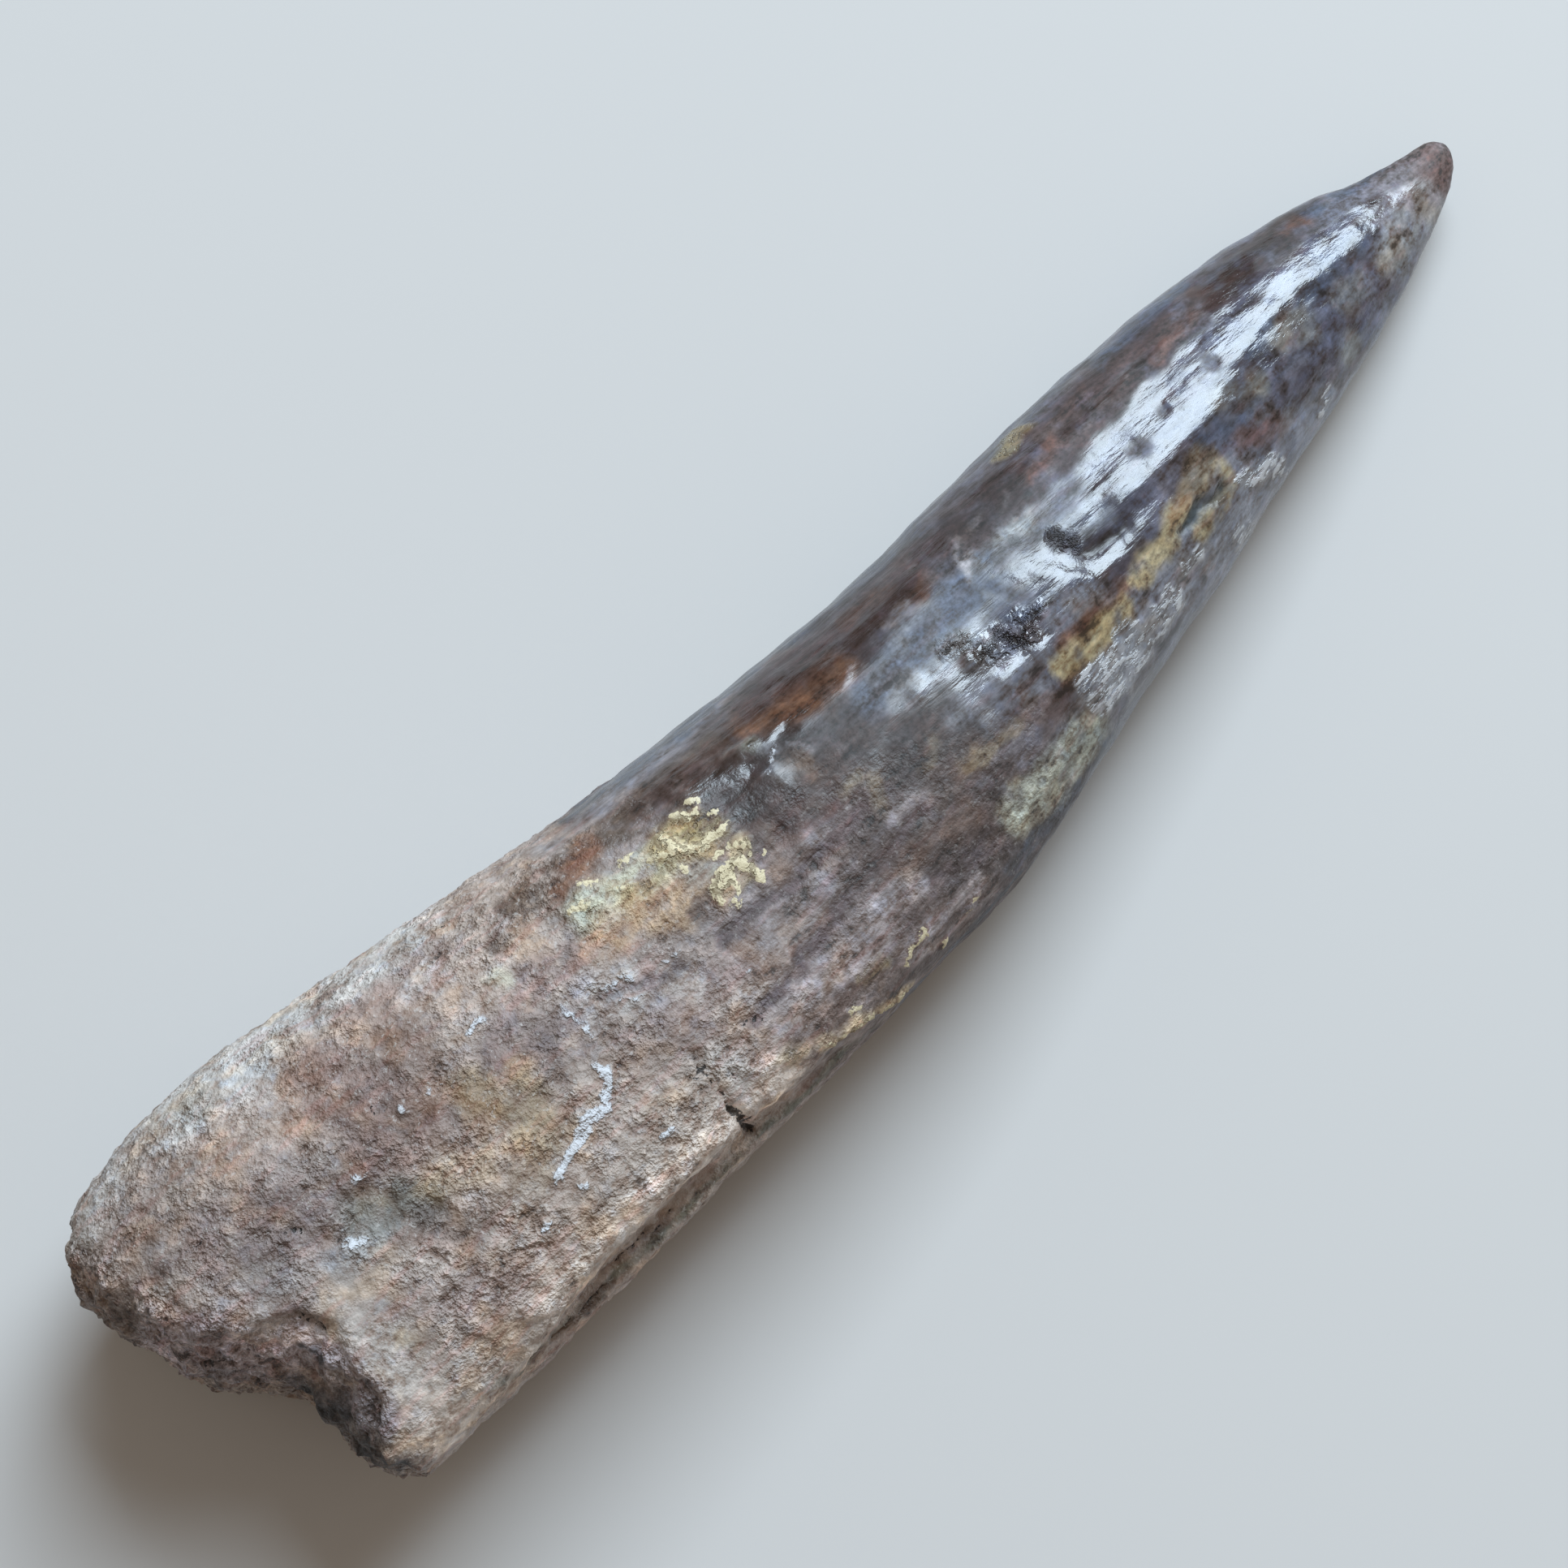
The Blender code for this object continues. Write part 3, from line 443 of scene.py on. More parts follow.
# Raised or sunk spots: radius, height in mm, then the path.
SWELLINGS = [
    (0.5, 0.14, (64.9, -0.8)), (0.5, 0.14, (65.7, -1.6)), (0.45, 0.14, (66.4, -2.5)),
    (0.4, 0.1, (65.2, 0.2)), (2.8, 0.1, (75.9, 1.1)), (1.3, 0.22, (65.5, -3.4), (68.2, -3.5)),
    (0.8, 0.12, (64.8, -1.2)), (1, 0.1, (83.8, 4.7)), (0.7, 0.1, (78.3, 5.3)), (0.7, 0.09, (73.9, 5.7)),
    (0.8, 0.12, (69.4, 4.7)), (0.9, -0.13, (81.9, 1.6)), (0.6, -0.14, (84.9, 2.3)),
    (0.35, -0.1, (86.8, 2.6)), (0.8, -0.12, (89.3, 2.4)), (0.35, 0.08, (85.6, 2.6)),
    (1.2, -0.14, (52.8, 1.5)), (0.6, 0.12, (51.5, 1.1), (51.7, 2.3), (52.4, 2.9)),
    (0.5, 0.1, (53.5, 2.5), (54.1, 1.3)), (1.4, 0.12, (72.1, -6.8), (69.8, -7.1)),
    (0.8, 0.07, (51.1, 4.4), (51.8, 4)), (0.7, -0.2, (32.6, 6)), (0.6, 0.14, (33.5, 6.3)),
    (1, 0.15, (19.8, 3.7)), (2.4, 0.2, (13.7, 4.7)), (0.8, -0.1, (8.9, -6.6), (9, -8.9)),
    (1, 0.12, (26, 7.6), (28.9, 7.6)), (1, 0.18, (46.7, 4.5)), (0.5, -0.14, (90.5, -0.8)),
    (0.9, -0.06, (97.2, -2.4)), (0.4, 0.06, (58.6, 3.2), (59.4, 3.8)),
    (0.4, 0.1, (68.2, 2.3), (68.8, 4.1), (69.7, 5.2)), (1.2, 0.1, (61.5, -0.2)),
    (1, -0.1, (63.9, -3.9)), (1.3, 0.12, (55.4, -2.4)), (0.8, 0.14, (62.2, -9.2), (65.3, -9)),
    (0.8, -0.12, (58.1, -9.2)), (0.8, -0.12, (48.1, -7.1), (44.2, -7.8)),
]

STAIN_SPREAD, STAIN_FIRMNESS, STAIN_PATCHES, STAIN_LEAST = 1.4, 1.5, 1.1, 0.3
HIDDEN_DRIFT = 4.5               # mm that the ground colours wander on the lower side
hidden = 1.0 - upper
patches = wander(0.22, 3)
patchy = wander(0.8, 5)[:, 0] + 0.6 * fine[:, 2]
worn_through = np.clip(1.0 + STAIN_PATCHES * patchy, STAIN_LEAST, 1.0)
ground_at = np.array([g[0] for g in GROUND], float)
ground_along = spot[:, 0] + HIDDEN_DRIFT * hidden * patches[:, 1]
paint = np.stack([np.interp(ground_along, ground_at, [g[1][k] for g in GROUND]) for k in range(3)], 1)
named = {}
for name, colour, marks in STAINS:
    cover = np.zeros(count)
    for radius, strength, *path in marks:
        cover = np.maximum(cover, strength * ease(STAIN_FIRMNESS * near(path, radius * STAIN_SPREAD, spot)))
    cover *= upper * worn_through
    named[name] = cover
    paint += cover[:, None] * (np.array(colour) - paint)

# Where the enamel of the crown begins: further back on the far side, and by chance underneath.
ENAMEL_START, ENAMEL_SLANT, ENAMEL_BLEND = 54.0, 1.6, 10.0
slant = ENAMEL_SLANT * across * ease((facing[:, 2] + 0.25) / 0.7)
enamel_start = ENAMEL_START + 0.6 * HIDDEN_DRIFT * hidden * patches[:, 0] - slant
edge_wobble = 4.0 * wide[:, 2] + 2.0 * fine[:, 2]
enamel = ease((along - enamel_start + edge_wobble + ENAMEL_BLEND / 2.0) / ENAMEL_BLEND)

# The lower side has the same crusts in patches of chance: where, from, to, and on the enamel or not.
HIDDEN_STRENGTH = 0.7
streaks = wander(0.5, 4)
colours = {name: np.array(colour) for name, colour, _ in STAINS}
for name, field, low, high, on_enamel in (
    ("grey rind with painted light", patches[:, 0], 0.05, 0.35, 0), ("mauve brown", patches[:, 1], 0.08, 0.35, 0),
    ("red brown", -patches[:, 0], 0.2, 0.5, 0), ("ochre", -patches[:, 1], 0.32, 0.55, 0),
    ("smooth tan", patches[:, 2], 0.15, 0.4, 0), ("damp green", streaks[:, 0], 0.3, 0.55, 0),
    ("russet", patches[:, 0], 0.15, 0.4, 1), ("dusk blue", patches[:, 1], 0.0, 0.3, 1),
    ("honey", -patches[:, 2], 0.35, 0.6, 1), ("grey spot", streaks[:, 1], 0.2, 0.5, 1),
):
    cover = hidden * ease((field - low) / (high - low)) * (enamel if on_enamel else 1.0 - enamel)
    paint += HIDDEN_STRENGTH * cover[:, None] * (colours[name] - paint)

# Broken end: where the root snapped, the face is steep and grainy, and its notch is painted near
# black as painted shade.
BREAK_REACH = 12.0                # mm along that it comes to at most
SHADE_FLOOR, SHADE_RISE = 8.0, 7.0   # the painted shade thins out down the face: mm up where it ends, and over
snapped = ease((-facing[:, 0] - 0.25) / 0.4) * ease((BREAK_REACH - along) / 4.0)
BREAK_GRAIN = [
    (2.6, 1, (2.5, 2.3), (3.7, -0.7), (5.5, -3.1)), (1.8, 1, (7.6, -3), (8.4, -5.6), (8.4, -9.5)),
]
# Painted shade: near-black strokes in the notch of the break, where the face turns away from the light.
BREAK_SHADE = [
    (1.3, 1, (4.7, -10), (5.3, -11.2), (6.4, -6), (6.6, -8.9)),
    (0.8, 0.9, (6.4, -8.8), (6.5, -10.8), (7.4, -12.7)),
    (0.55, 0.75, (2.3, -1.4), (3.3, -8), (4.4, -9.1)), (0.3, 0.7, (7.9, -3.3), (8.2, -4.9)),
    (0.3, 0.6, (8.6, -6.6), (9.2, -7.8)),
]
fracture = np.maximum(snapped, strokes(BREAK_GRAIN, spot) * upper)
high = ease((rise - SHADE_FLOOR) / SHADE_RISE)
for marks, colour, share, firm in (
    (BREAK_GRAIN, (0.31, 0.28, 0.31), 0.8, 2.0), (BREAK_SHADE, (0.016, 0.014, 0.017), 0.95, 1.5),
):
    cover = ease(firm * strokes(marks, spot)) * share * upper * high * worn_through
    paint += cover[:, None] * (np.array(colour) - paint)

# The whole root is a little lighter and warmer than its marks, and the enamel darker and bluer;
# that blue is partly painted cool reflection.
ROOT_TONE, ENAMEL_TONE = np.array((1.075, 1.01, 0.95)), np.array((0.69, 0.71, 0.75))
paint *= ROOT_TONE + (ENAMEL_TONE - ROOT_TONE) * enamel[:, None]
# Painted shade and painted light: some places are darkened and others lightened, partly for a
# darker or paler tone and partly for how the lamp falls on their slopes; the strength is how much.
PAINTED_SHADE_AND_DARKER_TONE = [
    (2.2, 0.12, (50.2, 2.5), (68.2, 2.7)), (1.6, 0.2, (47.1, 2.7), (49.2, 3.3)),
    (1.4, 0.14, (72.1, -4.7), (78.4, -4.1)), (1.7, 0.34, (6.5, -4.9), (7.4, -10.2)),
    (1.2, 0.3, (3.5, -1.5), (5.4, -4.7)), (1, 0.3, (74.2, 1.1), (74.8, 0)),
    (2, 0.16, (69.1, 0.6), (80.4, 0.6)), (1.3, 0.2, (74.1, -1.9), (78.3, -2.4)),
    (2.6, 0.24, (9.9, 2.4), (21.2, 2.7)), (1.8, 0.2, (21.3, 5.1), (26, 4.9)),
    (1.6, 0.2, (9.5, 0.1), (10.4, -1.6)), (2.2, 0.26, (25, 0.2), (30.3, 0)),
    (1.8, 0.22, (13.7, -2), (18.4, -2.4)), (1.5, 0.15, (28.8, -2.3), (42.3, -2)),
    (1.6, 0.2, (35.9, 2.4), (37, 5.2), (41.5, 5.7)), (1.4, 0.18, (44.3, 2.9), (45.9, 2.1)),
    (1.8, 0.36, (48.6, 3.3), (50.2, 2.1), (53.1, 2.5)), (1.8, 0.26, (48.2, 0.1), (56.6, 0)),
    (2, 0.36, (57, -2), (60.9, -2.6)), (1.6, 0.22, (58.9, -4.9), (61.4, -4.7)),
    (1.6, 0.22, (51, -7), (54, -7)), (1.6, 0.16, (45.2, -4.7), (49.1, -4.9)),
    (1.8, 0.16, (35.5, -5.9), (37, -9.7)), (1.4, 0.2, (39.4, -0.1), (41.8, -0.5)),
    (1.4, 0.2, (42.8, -2.2), (45.7, -2.2)), (1.4, 0.18, (55.1, -9.3), (57.6, -9.4)),
    (1.4, 0.18, (62.7, -9.2), (66.3, -8.8)), (1.5, 0.33, (71.1, 5.6), (74.5, 5.2)),
    (1.4, 0.34, (94.3, 6), (99.7, 5.8)), (1.2, 0.28, (79.5, -4.9), (82.7, -4.6)),
    (2.2, 0.2, (5.7, 6.3), (10.4, 7.7)), (1.4, 0.15, (12.7, -11.6), (17.4, -11.6)),
]
PAINTED_LIGHT_AND_PALER_TONE = [
    (1.6, 0.35, (1.8, 2.8), (3.1, 3.1)), (1.8, 0.6, (5.5, -1.4), (7.4, -2.6)),
    (1.6, 0.3, (62.8, -7), (66.1, -7)), (1.3, 0.35, (101, 0.6), (108.1, 1.4)),
    (1.2, 0.2, (80.3, -1.8), (85.6, -1.9)), (1.5, 0.18, (47.1, -9.5), (53.1, -9.6)),
    (1.2, 0.18, (29.7, -11.5), (38.4, -11.6)), (1.8, 0.16, (16.5, -9.4), (22.1, -9.4)),
    (1.2, 0.18, (48.3, -11.7), (57.3, -11.5)), (1.4, 0.2, (2.1, 7.5), (3.2, 8.4)),
    (1.4, 0.15, (47.1, -2.2), (51.1, -2.2)),
]
RETOUCH_SPREAD, RETOUCH_FIRMNESS = 1.3, 1.6
for marks, sign in ((PAINTED_SHADE_AND_DARKER_TONE, -1.0), (PAINTED_LIGHT_AND_PALER_TONE, 1.0)):
    for radius, strength, *path in marks:
        retouch = ease(RETOUCH_FIRMNESS * near(path, RETOUCH_SPREAD * radius, spot))
        paint *= 1.0 + (sign * strength * upper * retouch)[:, None]

chalk = strokes(CHALK, spot) * upper
lace = strokes(LACE, spot) * upper
crust = np.maximum(0.35 * named["celadon crust"], np.maximum(named["olive gold"], named["cream"]))
CRACK_WOBBLE, CARVING_WOBBLE = 0.18, 0.25   # mm
flat = np.stack([along, across], 1)
crack = strokes(CRACKS, flat + CRACK_WOBBLE * fine[:, :2]) * upper
# Rotted enamel, open with pits.
PITTED = [
    (0.8, 0.3, (64.4, 0.6), (65.6, -0.2)), (0.9, 0.5, (65.8, -1.1), (66.6, -2.1)),
    (1.1, 1, (67.2, -1.6), (68.3, -2.4)), (0.8, 0.6, (69.2, -1.3), (70, -1.7)),
    (0.8, 0.55, (74.1, 1.2), (74.9, -0.1)),
]
pitted = ease(1.6 * strokes(PITTED, spot)) * upper

# Carving in mm: swellings and dents, crusts that stand proud, the chipped shell of enamel.
carving = np.zeros(count)
flat_spot = flat + CARVING_WOBBLE * fine[:, :2]
for radius, height, *path in SWELLINGS:
    carving += height * ease(near(path, radius, flat_spot)) * upper
for name, height in (("celadon crust", 0.18), ("olive gold", 0.10), ("cream", 0.16), ("peach", 0.04),
                     ("fissure", -0.35), ("dark seam", -0.16), ("hollow", -0.25), ("painted glint streaks", 0.05),
                     ("smooth tan", -0.05), ("grey spot", -0.04)):
    carving += height * ease(1.4 * named[name])
carving += 0.10 * ease(2.0 * chalk) + 0.20 * ease(2.0 * lace)
# The crest of the crown: a low ridge, and the enamel falls away more steeply below it.
CREST = [
    (72.2, -0.7), (74.1, -0.5), (76.6, -0.4), (79.3, -0.3), (81.4, -0.4), (84.5, -0.2), (87.2, 0.1),
    (88.8, 0.6), (90.6, 1.4), (93.2, 2), (96.5, 2.3), (99.9, 2.1), (103.3, 1.9), (107.5, 1.7),
]
CREST_DROP, CREST_WIDTH, CREST_FADE = 0.46, 1.5, 6.0
RIDGE_HEIGHT, RIDGE_WIDTH = 0.20, 3.2
below, along_crest = beyond(CREST, flat_spot)
drop = (1.0 - np.exp(np.minimum(below, 0.0) / CREST_WIDTH)) * ease(1.0 + below / CREST_FADE)
ridge = ease(1.0 - np.abs(below) / RIDGE_WIDTH) * (below > 0) + (below <= 0)
carving += (RIDGE_HEIGHT * ridge * ease(1.0 + below / CREST_FADE) - CREST_DROP * drop) * ease(
    8.0 * along_crest) * ease(12.0 * (1.0 - along_crest)) * upper
# The chipped enamel: a wall that faces the tip and the near side, and a torn hollow inside it.
CHIP_WALL = [
    (73.6, 6.9), (72.2, 2.7), (72.2, 1.3), (72.6, 0.1), (73.3, -1), (74.5, -1.9), (76.6, -2.2),
    (79.3, -2.1), (88.9, -1.9),
]
WALL_DROP, WALL_WIDTH = 0.32, 0.9
CHIP_END, CHIP_FADE = 95.0, 16.0   # mm along where the chip has run out, and over how much
CHIP_TOP, CHIP_RISE = 5.2, 2.4     # the same across the tooth
inside, _ = beyond(CHIP_WALL, flat_spot)
wall_drop = ease((inside + WALL_WIDTH) / (2.0 * WALL_WIDTH)) * ease((CHIP_END - along) / CHIP_FADE)
carving -= WALL_DROP * wall_drop * ease((CHIP_TOP - across) / CHIP_RISE) * upper
CHIP_HOLLOW = [
    (0.2, 0.6, (73.7, 0.6), (73.9, 0.2)), (0.2, 0.7, (74.6, 1.1), (74.8, 0.8)),
    (0.4, 0.9, (74.7, -0.8), (76, -1.3), (77.8, -1.4)),
]
HOLLOW_DEPTH, HOLLOW_SHADE = 0.24, np.array((0.022, 0.018, 0.018))
hollow_chip = strokes(CHIP_HOLLOW, flat_spot) * upper
carving -= HOLLOW_DEPTH * ease(1.6 * hollow_chip)
# Painted shade: the crescent of the chip's hollow is painted near black, where its floor turns away from
# the light.
paint += 0.9 * ease(1.9 * hollow_chip)[:, None] * (HOLLOW_SHADE - paint)
# Places where the gloss of the enamel has gone dull.
DULL = [
    (1.8, 0.75, (58.4, -1.8), (61.9, -2.2)), (1, 0.4, (67.4, 0), (69, 0)),
    (1, 0.85, (74.1, 1.2), (74.8, 0)), (0.9, 0.75, (81.8, 1.6), (82.1, 1.3)),
    (0.8, 0.5, (75.8, -0.1), (77.7, -0.3)), (1.2, 0.9, (52.2, 2.9), (54.9, 1.6)),
    (1.4, 0.8, (70.5, 5.6), (74.6, 5.5)), (2.4, 1, (109.6, 2.5), (110.9, 3.1)),
    (1.6, 0.8, (107.7, 4.4), (110.1, 4)), (1.4, 1, (102.1, 5), (104.8, 4.5), (108.2, 4)),
    (1, 0.8, (96.8, 4.9), (101.3, 4.6)), (1.4, 1, (67.9, 4.3), (72.4, 4.2), (78.6, 4.7)),
    (1.3, 1, (71.3, 4), (77.5, 4.2)), (1.7, 0.45, (70.8, 2.1), (77.4, 2.6)),
    (1.3, 0.9, (107.2, 3.4), (108.1, 3.1)), (0.9, 0.9, (79.6, 4.6), (91.3, 4.9)),
    (1, 0.6, (69.3, 1.4), (70, -0.3)), (2.8, 0.95, (54.1, 0.7), (57.5, 1)),
    (2.6, 0.65, (59.1, 1.6), (62.1, 1.8), (68.1, 2.3)), (2.2, 0.85, (57.9, -3.4), (61.9, -4.3)),
    (1, 0.7, (81.9, 1.6)), (0.6, 0.7, (84.9, 2.3)), (0.9, 0.7, (89.1, 2.4)),
    (1.4, 0.6, (69.6, 4.8), (72.5, 5)), (1.5, 0.5, (74.2, -4.6), (82.6, -3.7)),
    (1.8, 0.7, (60.1, -9.6), (68.4, -8.6)), (1.4, 0.6, (78.9, 6.4), (91.5, 6.2)),
]
gloss = enamel * (1.0 - ease(1.6 * strokes(DULL, spot) * upper)) * (1.0 - 0.5 * ease(1.6 * hollow_chip))


def store(name, values):
    """Keeps a value at every point of the skin."""
    kind = "FLOAT_COLOR" if values.ndim == 2 else "FLOAT"
    layer = skin.attributes.new(name, kind, "POINT")
    if kind == "FLOAT":
        layer.data.foreach_set("value", values.astype(np.float32))
    else:
        full = np.ones((count, 4), np.float32)
        full[:, :3] = np.clip(values, 0.0, 1.0)
        layer.data.foreach_set("color", full.ravel())


rough_root = (1.0 - enamel) * (1.0 - 0.75 * named["smooth tan"]) * (1.0 - NECK_WEAR * neck)
for name, values in (
    ("paint", paint), ("chalk", chalk), ("lace", lace), ("crack", crack), ("pitted", pitted),
    ("crust", crust), ("glint_streak", named["painted glint streaks"]), ("enamel", enamel), ("gloss", gloss),
    ("fracture", fracture), ("carving", carving), ("grain", rough_root), ("neck", neck),
):
    store(name, values)


def joined(tree, source, target):
    """Links a socket to a node's input, or sets the input to a plain value."""
    if isinstance(source, bpy.types.NodeSocket):
        tree.links.new(source, target)
    else:
        target.default_value = source


def maths(tree, operation, a, b=0.0, c=None):
    """One sum in a node tree; a, b and c are sockets or numbers."""
    node = tree.nodes.new("ShaderNodeMath")
    node.operation = operation
    joined(tree, a, node.inputs[0])
    joined(tree, b, node.inputs[1])
    if c is not None:
        joined(tree, c, node.inputs[2])
    return node.outputs[0]


def turbulence(tree, vector, size, detail=3.0, roughness=0.55, stretch=None, colour=False):
    """Fractal noise whose largest lumps are `size` of the vector's units across."""
    if stretch is not None:
        scale = tree.nodes.new("ShaderNodeVectorMath")
        scale.operation = "MULTIPLY"
        joined(tree, vector, scale.inputs[0])
        scale.inputs[1].default_value = stretch
        vector = scale.outputs[0]
    node = tree.nodes.new("ShaderNodeTexNoise")
    joined(tree, vector, node.inputs["Vector"])
    if isinstance(size, bpy.types.NodeSocket):
        joined(tree, maths(tree, "DIVIDE", 1.0, size), node.inputs["Scale"])
    else:
        node.inputs["Scale"].default_value = 1.0 / size
    node.inputs["Detail"].default_value = detail
    node.inputs["Roughness"].default_value = roughness
    return node.outputs["Color" if colour else 0]


# The relief rule: a Geometry Nodes tree that lifts the skin by its carving and roughens it.
relief = bpy.data.node_groups.new("tooth_relief", "GeometryNodeTree")
relief.interface.new_socket("Skin", in_out="INPUT", socket_type="NodeSocketGeometry")
RELIEF_SIZES = {   # mm
    "Grain Depth": 0.22, "Grain Size": 1.0, "Fracture Depth": 0.55, "Fracture Size": 1.6,
    "Ripple Depth": 0.045, "Ripple Size": 0.9, "Crack Depth": 0.55, "Pit Depth": 0.16, "Pit Size": 0.8,
    "Wave Depth": 0.10, "Wave Size": 4.0,
}
for label in RELIEF_SIZES:
    relief.interface.new_socket(label, in_out="INPUT", socket_type="NodeSocketFloat")
relief.interface.new_socket("Finish", in_out="INPUT", socket_type="NodeSocketMaterial")
relief.interface.new_socket("Skin", in_out="OUTPUT", socket_type="NodeSocketGeometry")
start, end = relief.nodes.new("NodeGroupInput"), relief.nodes.new("NodeGroupOutput")
link = relief.links.new


def kept(name):
    """A value kept at the points of the skin."""
    node = relief.nodes.new("GeometryNodeInputNamedAttribute")
    node.data_type = "FLOAT"
    node.inputs["Name"].default_value = name
    return node.outputs[0]


in_mm = relief.nodes.new("ShaderNodeVectorMath")
in_mm.operation = "SCALE"
in_mm.inputs["Scale"].default_value = 1.0 / MM
link(relief.nodes.new("GeometryNodeInputPosition").outputs[0], in_mm.inputs[0])
at = in_mm.outputs[0]
NOISE_SPAN = 4.0   # the noise swings about a quarter to either side, and this makes that 1


def bumps(kind, mask, **look):
    """Noise as deep and as large as the tree's inputs for its kind say, where the mask is 1."""
    raw = maths(relief, "SUBTRACT", turbulence(relief, at, start.outputs[kind + " Size"], **look), 0.5)
    depth = maths(relief, "MULTIPLY", start.outputs[kind + " Depth"], mask)
    return maths(relief, "MULTIPLY", maths(relief, "MULTIPLY", raw, NOISE_SPAN), depth)


height = kept("carving")
for kind, mask, look in (
    ("Grain", kept("grain"), {"detail": 4.0}),
    ("Fracture", kept("fracture"), {"detail": 5.0, "roughness": 0.65}),
    ("Wave", 1.0, {"detail": 1.0}),
    ("Ripple", kept("enamel"), {"stretch": (0.3, 1.0, 1.0)}),
    ("Pit", kept("pitted"), {"detail": 2.0}),
):
    height = maths(relief, "ADD", height, bumps(kind, mask, **look))
cut = maths(relief, "MULTIPLY", kept("crack"), start.outputs["Crack Depth"])
height = maths(relief, "SUBTRACT", height, cut)
push = relief.nodes.new("ShaderNodeVectorMath")
push.operation = "SCALE"
link(relief.nodes.new("GeometryNodeInputNormal").outputs[0], push.inputs[0])
link(maths(relief, "MULTIPLY", height, MM), push.inputs["Scale"])
lift = relief.nodes.new("GeometryNodeSetPosition")
link(start.outputs["Skin"], lift.inputs["Geometry"])
link(push.outputs[0], lift.inputs["Offset"])
# Nothing may go below the surface that the tooth lies on.
split, join = relief.nodes.new("ShaderNodeSeparateXYZ"), relief.nodes.new("ShaderNodeCombineXYZ")
link(relief.nodes.new("GeometryNodeInputPosition").outputs[0], split.inputs[0])
for k in (0, 1):
    link(split.outputs[k], join.inputs[k])
link(maths(relief, "MAXIMUM", split.outputs[2], 0.0), join.inputs[2])
rest = relief.nodes.new("GeometryNodeSetPosition")
link(lift.outputs[0], rest.inputs["Geometry"])
link(join.outputs[0], rest.inputs["Position"])
shade = relief.nodes.new("GeometryNodeSetShadeSmooth")
whole = relief.nodes.new("GeometryNodeRealizeInstances")
coat = relief.nodes.new("GeometryNodeSetMaterial")
link(rest.outputs[0], shade.inputs["Geometry"])
link(shade.outputs[0], whole.inputs["Geometry"])
link(whole.outputs[0], coat.inputs["Geometry"])
link(start.outputs["Finish"], coat.inputs["Material"])
link(coat.outputs[0], end.inputs[0])

# The finish of the tooth: the stored paint, mottled, with the fine layers over it.
stone = bpy.data.materials.new("fossil_root_and_enamel")
stone.use_nodes = True
finish = stone.node_tree
surface = finish.nodes["Principled BSDF"]


def layer(name, output="Fac"):
    """A layer stored on the skin."""
    node = finish.nodes.new("ShaderNodeAttribute")
    node.attribute_name = name
    return node.outputs[output]


def channels(colour):
    """The three parts of a colour, used here as three separate patterns."""
    node = finish.nodes.new("ShaderNodeSeparateColor")
    finish.links.new(colour, node.inputs[0])
    return node.outputs


def times(a, b):
    """Two patterns multiplied, or a pattern and a number."""
    return maths(finish, "MULTIPLY", a, b)


def plus(total, field, amount=1.0):
    """The total with so much of the field added to it."""
    return maths(finish, "MULTIPLY_ADD", field, amount, total)


def less(a, b):
    """One pattern taken from another."""
    return maths(finish, "SUBTRACT", a, b)


def centred(pattern):
    """A pattern that was about 0.5 on average, made to swing round 0."""
    return less(pattern, 0.5)


def ramp(value, low, high):
    """0 below low, 1 above high, eased between."""
    node = finish.nodes.new("ShaderNodeMapRange")
    node.interpolation_type = "SMOOTHSTEP"
    joined(finish, value, node.inputs["Value"])
    node.inputs["From Min"].default_value = low
    node.inputs["From Max"].default_value = high
    return node.outputs[0]


def mixed(base, over, amount, blend="MIX"):
    """A colour laid over another, each a socket or three numbers."""
    node = finish.nodes.new("ShaderNodeMix")
    node.data_type = "RGBA"
    node.blend_type = blend
    node.clamp_factor = True
    joined(finish, amount, node.inputs["Factor"])
    for colour, socket in ((base, node.inputs[6]), (over, node.inputs[7])):
        joined(finish, colour if isinstance(colour, bpy.types.NodeSocket) else (*colour, 1.0), socket)
    return node.outputs[2]


here_in_mm = finish.nodes.new("ShaderNodeMapping")
here_in_mm.inputs["Scale"].default_value = (1.0 / MM,) * 3
finish.links.new(finish.nodes.new("ShaderNodeTexCoord").outputs["Object"], here_in_mm.inputs["Vector"])
# Patterns: size in mm, detail, roughness, and how they are drawn out along the tooth.
PATTERNS = {
    "broad": (2.6, 2.0, 0.5, None), "middle": (0.95, 3.0, 0.6, None), "small": (0.34, 2.0, 0.6, None),
    "torn": (0.62, 3.0, 0.7, (0.8, 1.0, 1.0)), "drawn": (0.8, 4.0, 0.6, (0.17, 1.0, 1.0)),
    "threads": (0.32, 3.0, 0.6, (0.28, 1.0, 1.0)),
}
broad, middle, small, torn, drawn, threads = (
    channels(turbulence(finish, here_in_mm.outputs[0], *sizes, colour=True))
    for sizes in PATTERNS.values())
on = {name: layer(name) for name in (
    "enamel", "gloss", "neck", "grain", "fracture", "pitted", "crust", "glint_streak")}

# Light and dark: mottled at three scales, drawn out along the crown, crumbly on the break.
BROAD, MIDDLE, SMALL, DULLED, THREADS, CRUMBS, BLOTCHES = 1.4, 1.9, 1.05, 2.8, 1.7, 2.2, 2.2
STREAKS, NECK_STREAKS = 0.9, 1.8
DARKEST = 0.2
lively = plus(0.7, ramp(broad[2], 0.38, 0.62), 0.75)
value = plus(1.04, centred(broad[0]), BROAD)
value = plus(value, centred(middle[0]), times(lively, MIDDLE))
value = plus(value, centred(small[0]), times(lively, SMALL))
value = plus(value, times(centred(small[1]), less(on["enamel"], on["gloss"])), DULLED)
value = plus(value, centred(drawn[0]), plus(STREAKS, on["neck"], NECK_STREAKS))
value = plus(value, times(centred(threads[0]), on["neck"]), THREADS)
